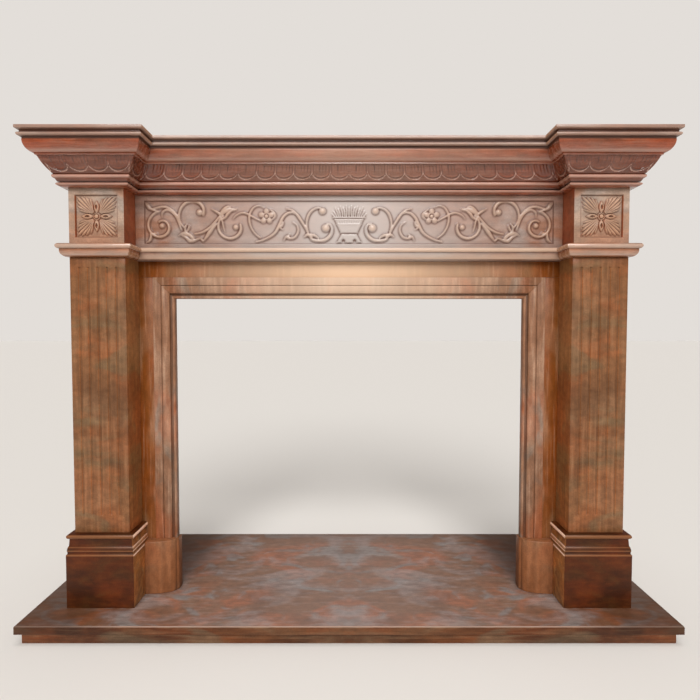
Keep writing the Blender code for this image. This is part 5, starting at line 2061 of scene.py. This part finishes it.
        # Painted shade in the shelf's groove and quirks and a painted highlight on its fillet and
        # bead.
        beyond = (0.086, profile[0][1] - 0.002), (0.080, profile[-1][1] + 0.002)
        section = Section([beyond[0], *profile, beyond[1]], reach=0.009)
        self.piece("mantel_shelf", bm, SHELF_STONE, "shelf", sharp=40, marks=section.at)


@dataclass
class Studio:
    """The plain floor, the soft lights and the camera."""

    camera_place: Place = (0.0, -1.696, 0.885)
    camera_tilt: float = 2.12
    camera_shift: float = 0.0014
    lens: float = 25.714
    floor_size: float = 90.0
    floor_tone: Colour = shade(228, 223, 217)
    floor_roughness: float = 0.75
    background: Colour = shade(227, 222, 217)
    ambient: float = 0.30
    sun_strength: float = 2.6
    sun_height: float = 36.0
    sun_softness: float = 34.0
    top_strength: float = 0.85
    top_height: float = 84.0
    softbox_place: Place = (0.0, -1.75, 1.95)
    softbox_aim: Place = (0.0, -0.12, 1.22)
    softbox_size: Point = (0.9, 0.4)
    softbox_power: float = 3.8

    def build(self) -> None:
        """Build the floor, the lights, the world and the camera."""
        bpy.context.scene.view_settings.view_transform = "Standard"
        self.build_floor()
        self.build_world()
        self.far_light("key_light", self.sun_strength, self.sun_height)
        self.far_light("top_light", self.top_strength, self.top_height)
        self.build_softbox("middle_softbox")
        self.build_camera()

    @staticmethod
    def hang(name: str, thing: bpy.types.ID, place: Sequence[float],
             turn: Sequence[float]) -> bpy.types.Object:
        """Put a lamp, a camera or a mesh into the scene.

        Args:
            name: Its name.
            thing: What is put there.
            place: Where it goes.
            turn: How it is turned, in radians.

        Returns:
            The object.
        """
        made = bpy.data.objects.new(name, thing)
        made.location = place
        made.rotation_euler = turn
        bpy.context.scene.collection.objects.link(made)
        return made

    def far_light(self, name: str, strength: float, height: float) -> None:
        """Hang a large soft light far in front of the mantel.

        Args:
            name: Its name.
            strength: Its strength.
            height: How high it hangs, as an angle in degrees.
        """
        lamp = bpy.data.lights.new(name, "SUN")
        lamp.energy = strength
        lamp.angle = math.radians(self.sun_softness)
        self.hang(name, lamp, (0.0, 0.0, 0.0), (math.radians(90 - height), 0.0, 0.0))

    def build_floor(self) -> None:
        """Lay the pale floor."""
        bm = bmesh.new()
        bmesh.ops.create_grid(bm, x_segments=1, y_segments=1, size=self.floor_size / 2)
        mesh = bpy.data.meshes.new("floor")
        bm.to_mesh(mesh)
        bm.free()
        floor = self.hang("floor", mesh, (0.0, 0.0, 0.0), (0.0, 0.0, 0.0))
        material = bpy.data.materials.new("pale_floor")
        material.use_nodes = True
        shader = material.node_tree.nodes["Principled BSDF"]
        shader.inputs["Base Color"].default_value = (*self.floor_tone, 1.0)
        shader.inputs["Roughness"].default_value = self.floor_roughness
        shader.inputs["Specular IOR Level"].default_value = 0.0
        mesh.materials.append(material)

    def build_world(self) -> None:
        """Make the pale backdrop, which lights the mantel less than it shows."""
        world = bpy.data.worlds.new("studio")
        world.use_nodes = True
        tree = world.node_tree
        shown = tree.nodes["Background"]
        shown.inputs["Color"].default_value = (*self.background, 1.0)
        lit = tree.nodes.new("ShaderNodeBackground")
        lit.inputs["Color"].default_value = (*self.background, 1.0)
        lit.inputs["Strength"].default_value = self.ambient
        path = tree.nodes.new("ShaderNodeLightPath")
        mix = tree.nodes.new("ShaderNodeMixShader")
        tree.links.new(path.outputs["Is Camera Ray"], mix.inputs["Fac"])
        tree.links.new(lit.outputs["Background"], mix.inputs[1])
        tree.links.new(shown.outputs["Background"], mix.inputs[2])
        tree.links.new(mix.outputs["Shader"], tree.nodes["World Output"].inputs["Surface"])
        bpy.context.scene.world = world

    def build_softbox(self, name: str) -> None:
        """Hang the softbox over the middle of the mantel.

        Args:
            name: Its name.
        """
        lamp = bpy.data.lights.new(name, "AREA")
        lamp.shape = "RECTANGLE"
        lamp.size, lamp.size_y = self.softbox_size
        lamp.energy = self.softbox_power
        aim = Vector(self.softbox_aim) - Vector(self.softbox_place)
        self.hang(name, lamp, self.softbox_place, aim.to_track_quat("-Z", "Y").to_euler())

    def build_camera(self) -> None:
        """Set up the camera where the photograph was taken from."""
        lens = bpy.data.cameras.new("camera")
        lens.lens = self.lens
        lens.shift_x = self.camera_shift
        bpy.context.scene.camera = self.hang("camera", lens, self.camera_place,
                                             (math.radians(90 - self.camera_tilt), 0.0, 0.0))


def main() -> None:
    """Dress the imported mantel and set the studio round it."""
    logging.basicConfig(level=logging.INFO, format="%(name)s %(message)s")
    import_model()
    Hearth().build()
    for side in Side:
        Pilaster(side=side).build()
    Surround().build()
    Frieze().build()
    Cornice().build()
    Studio().build()


if __name__ == "__main__":
    main()
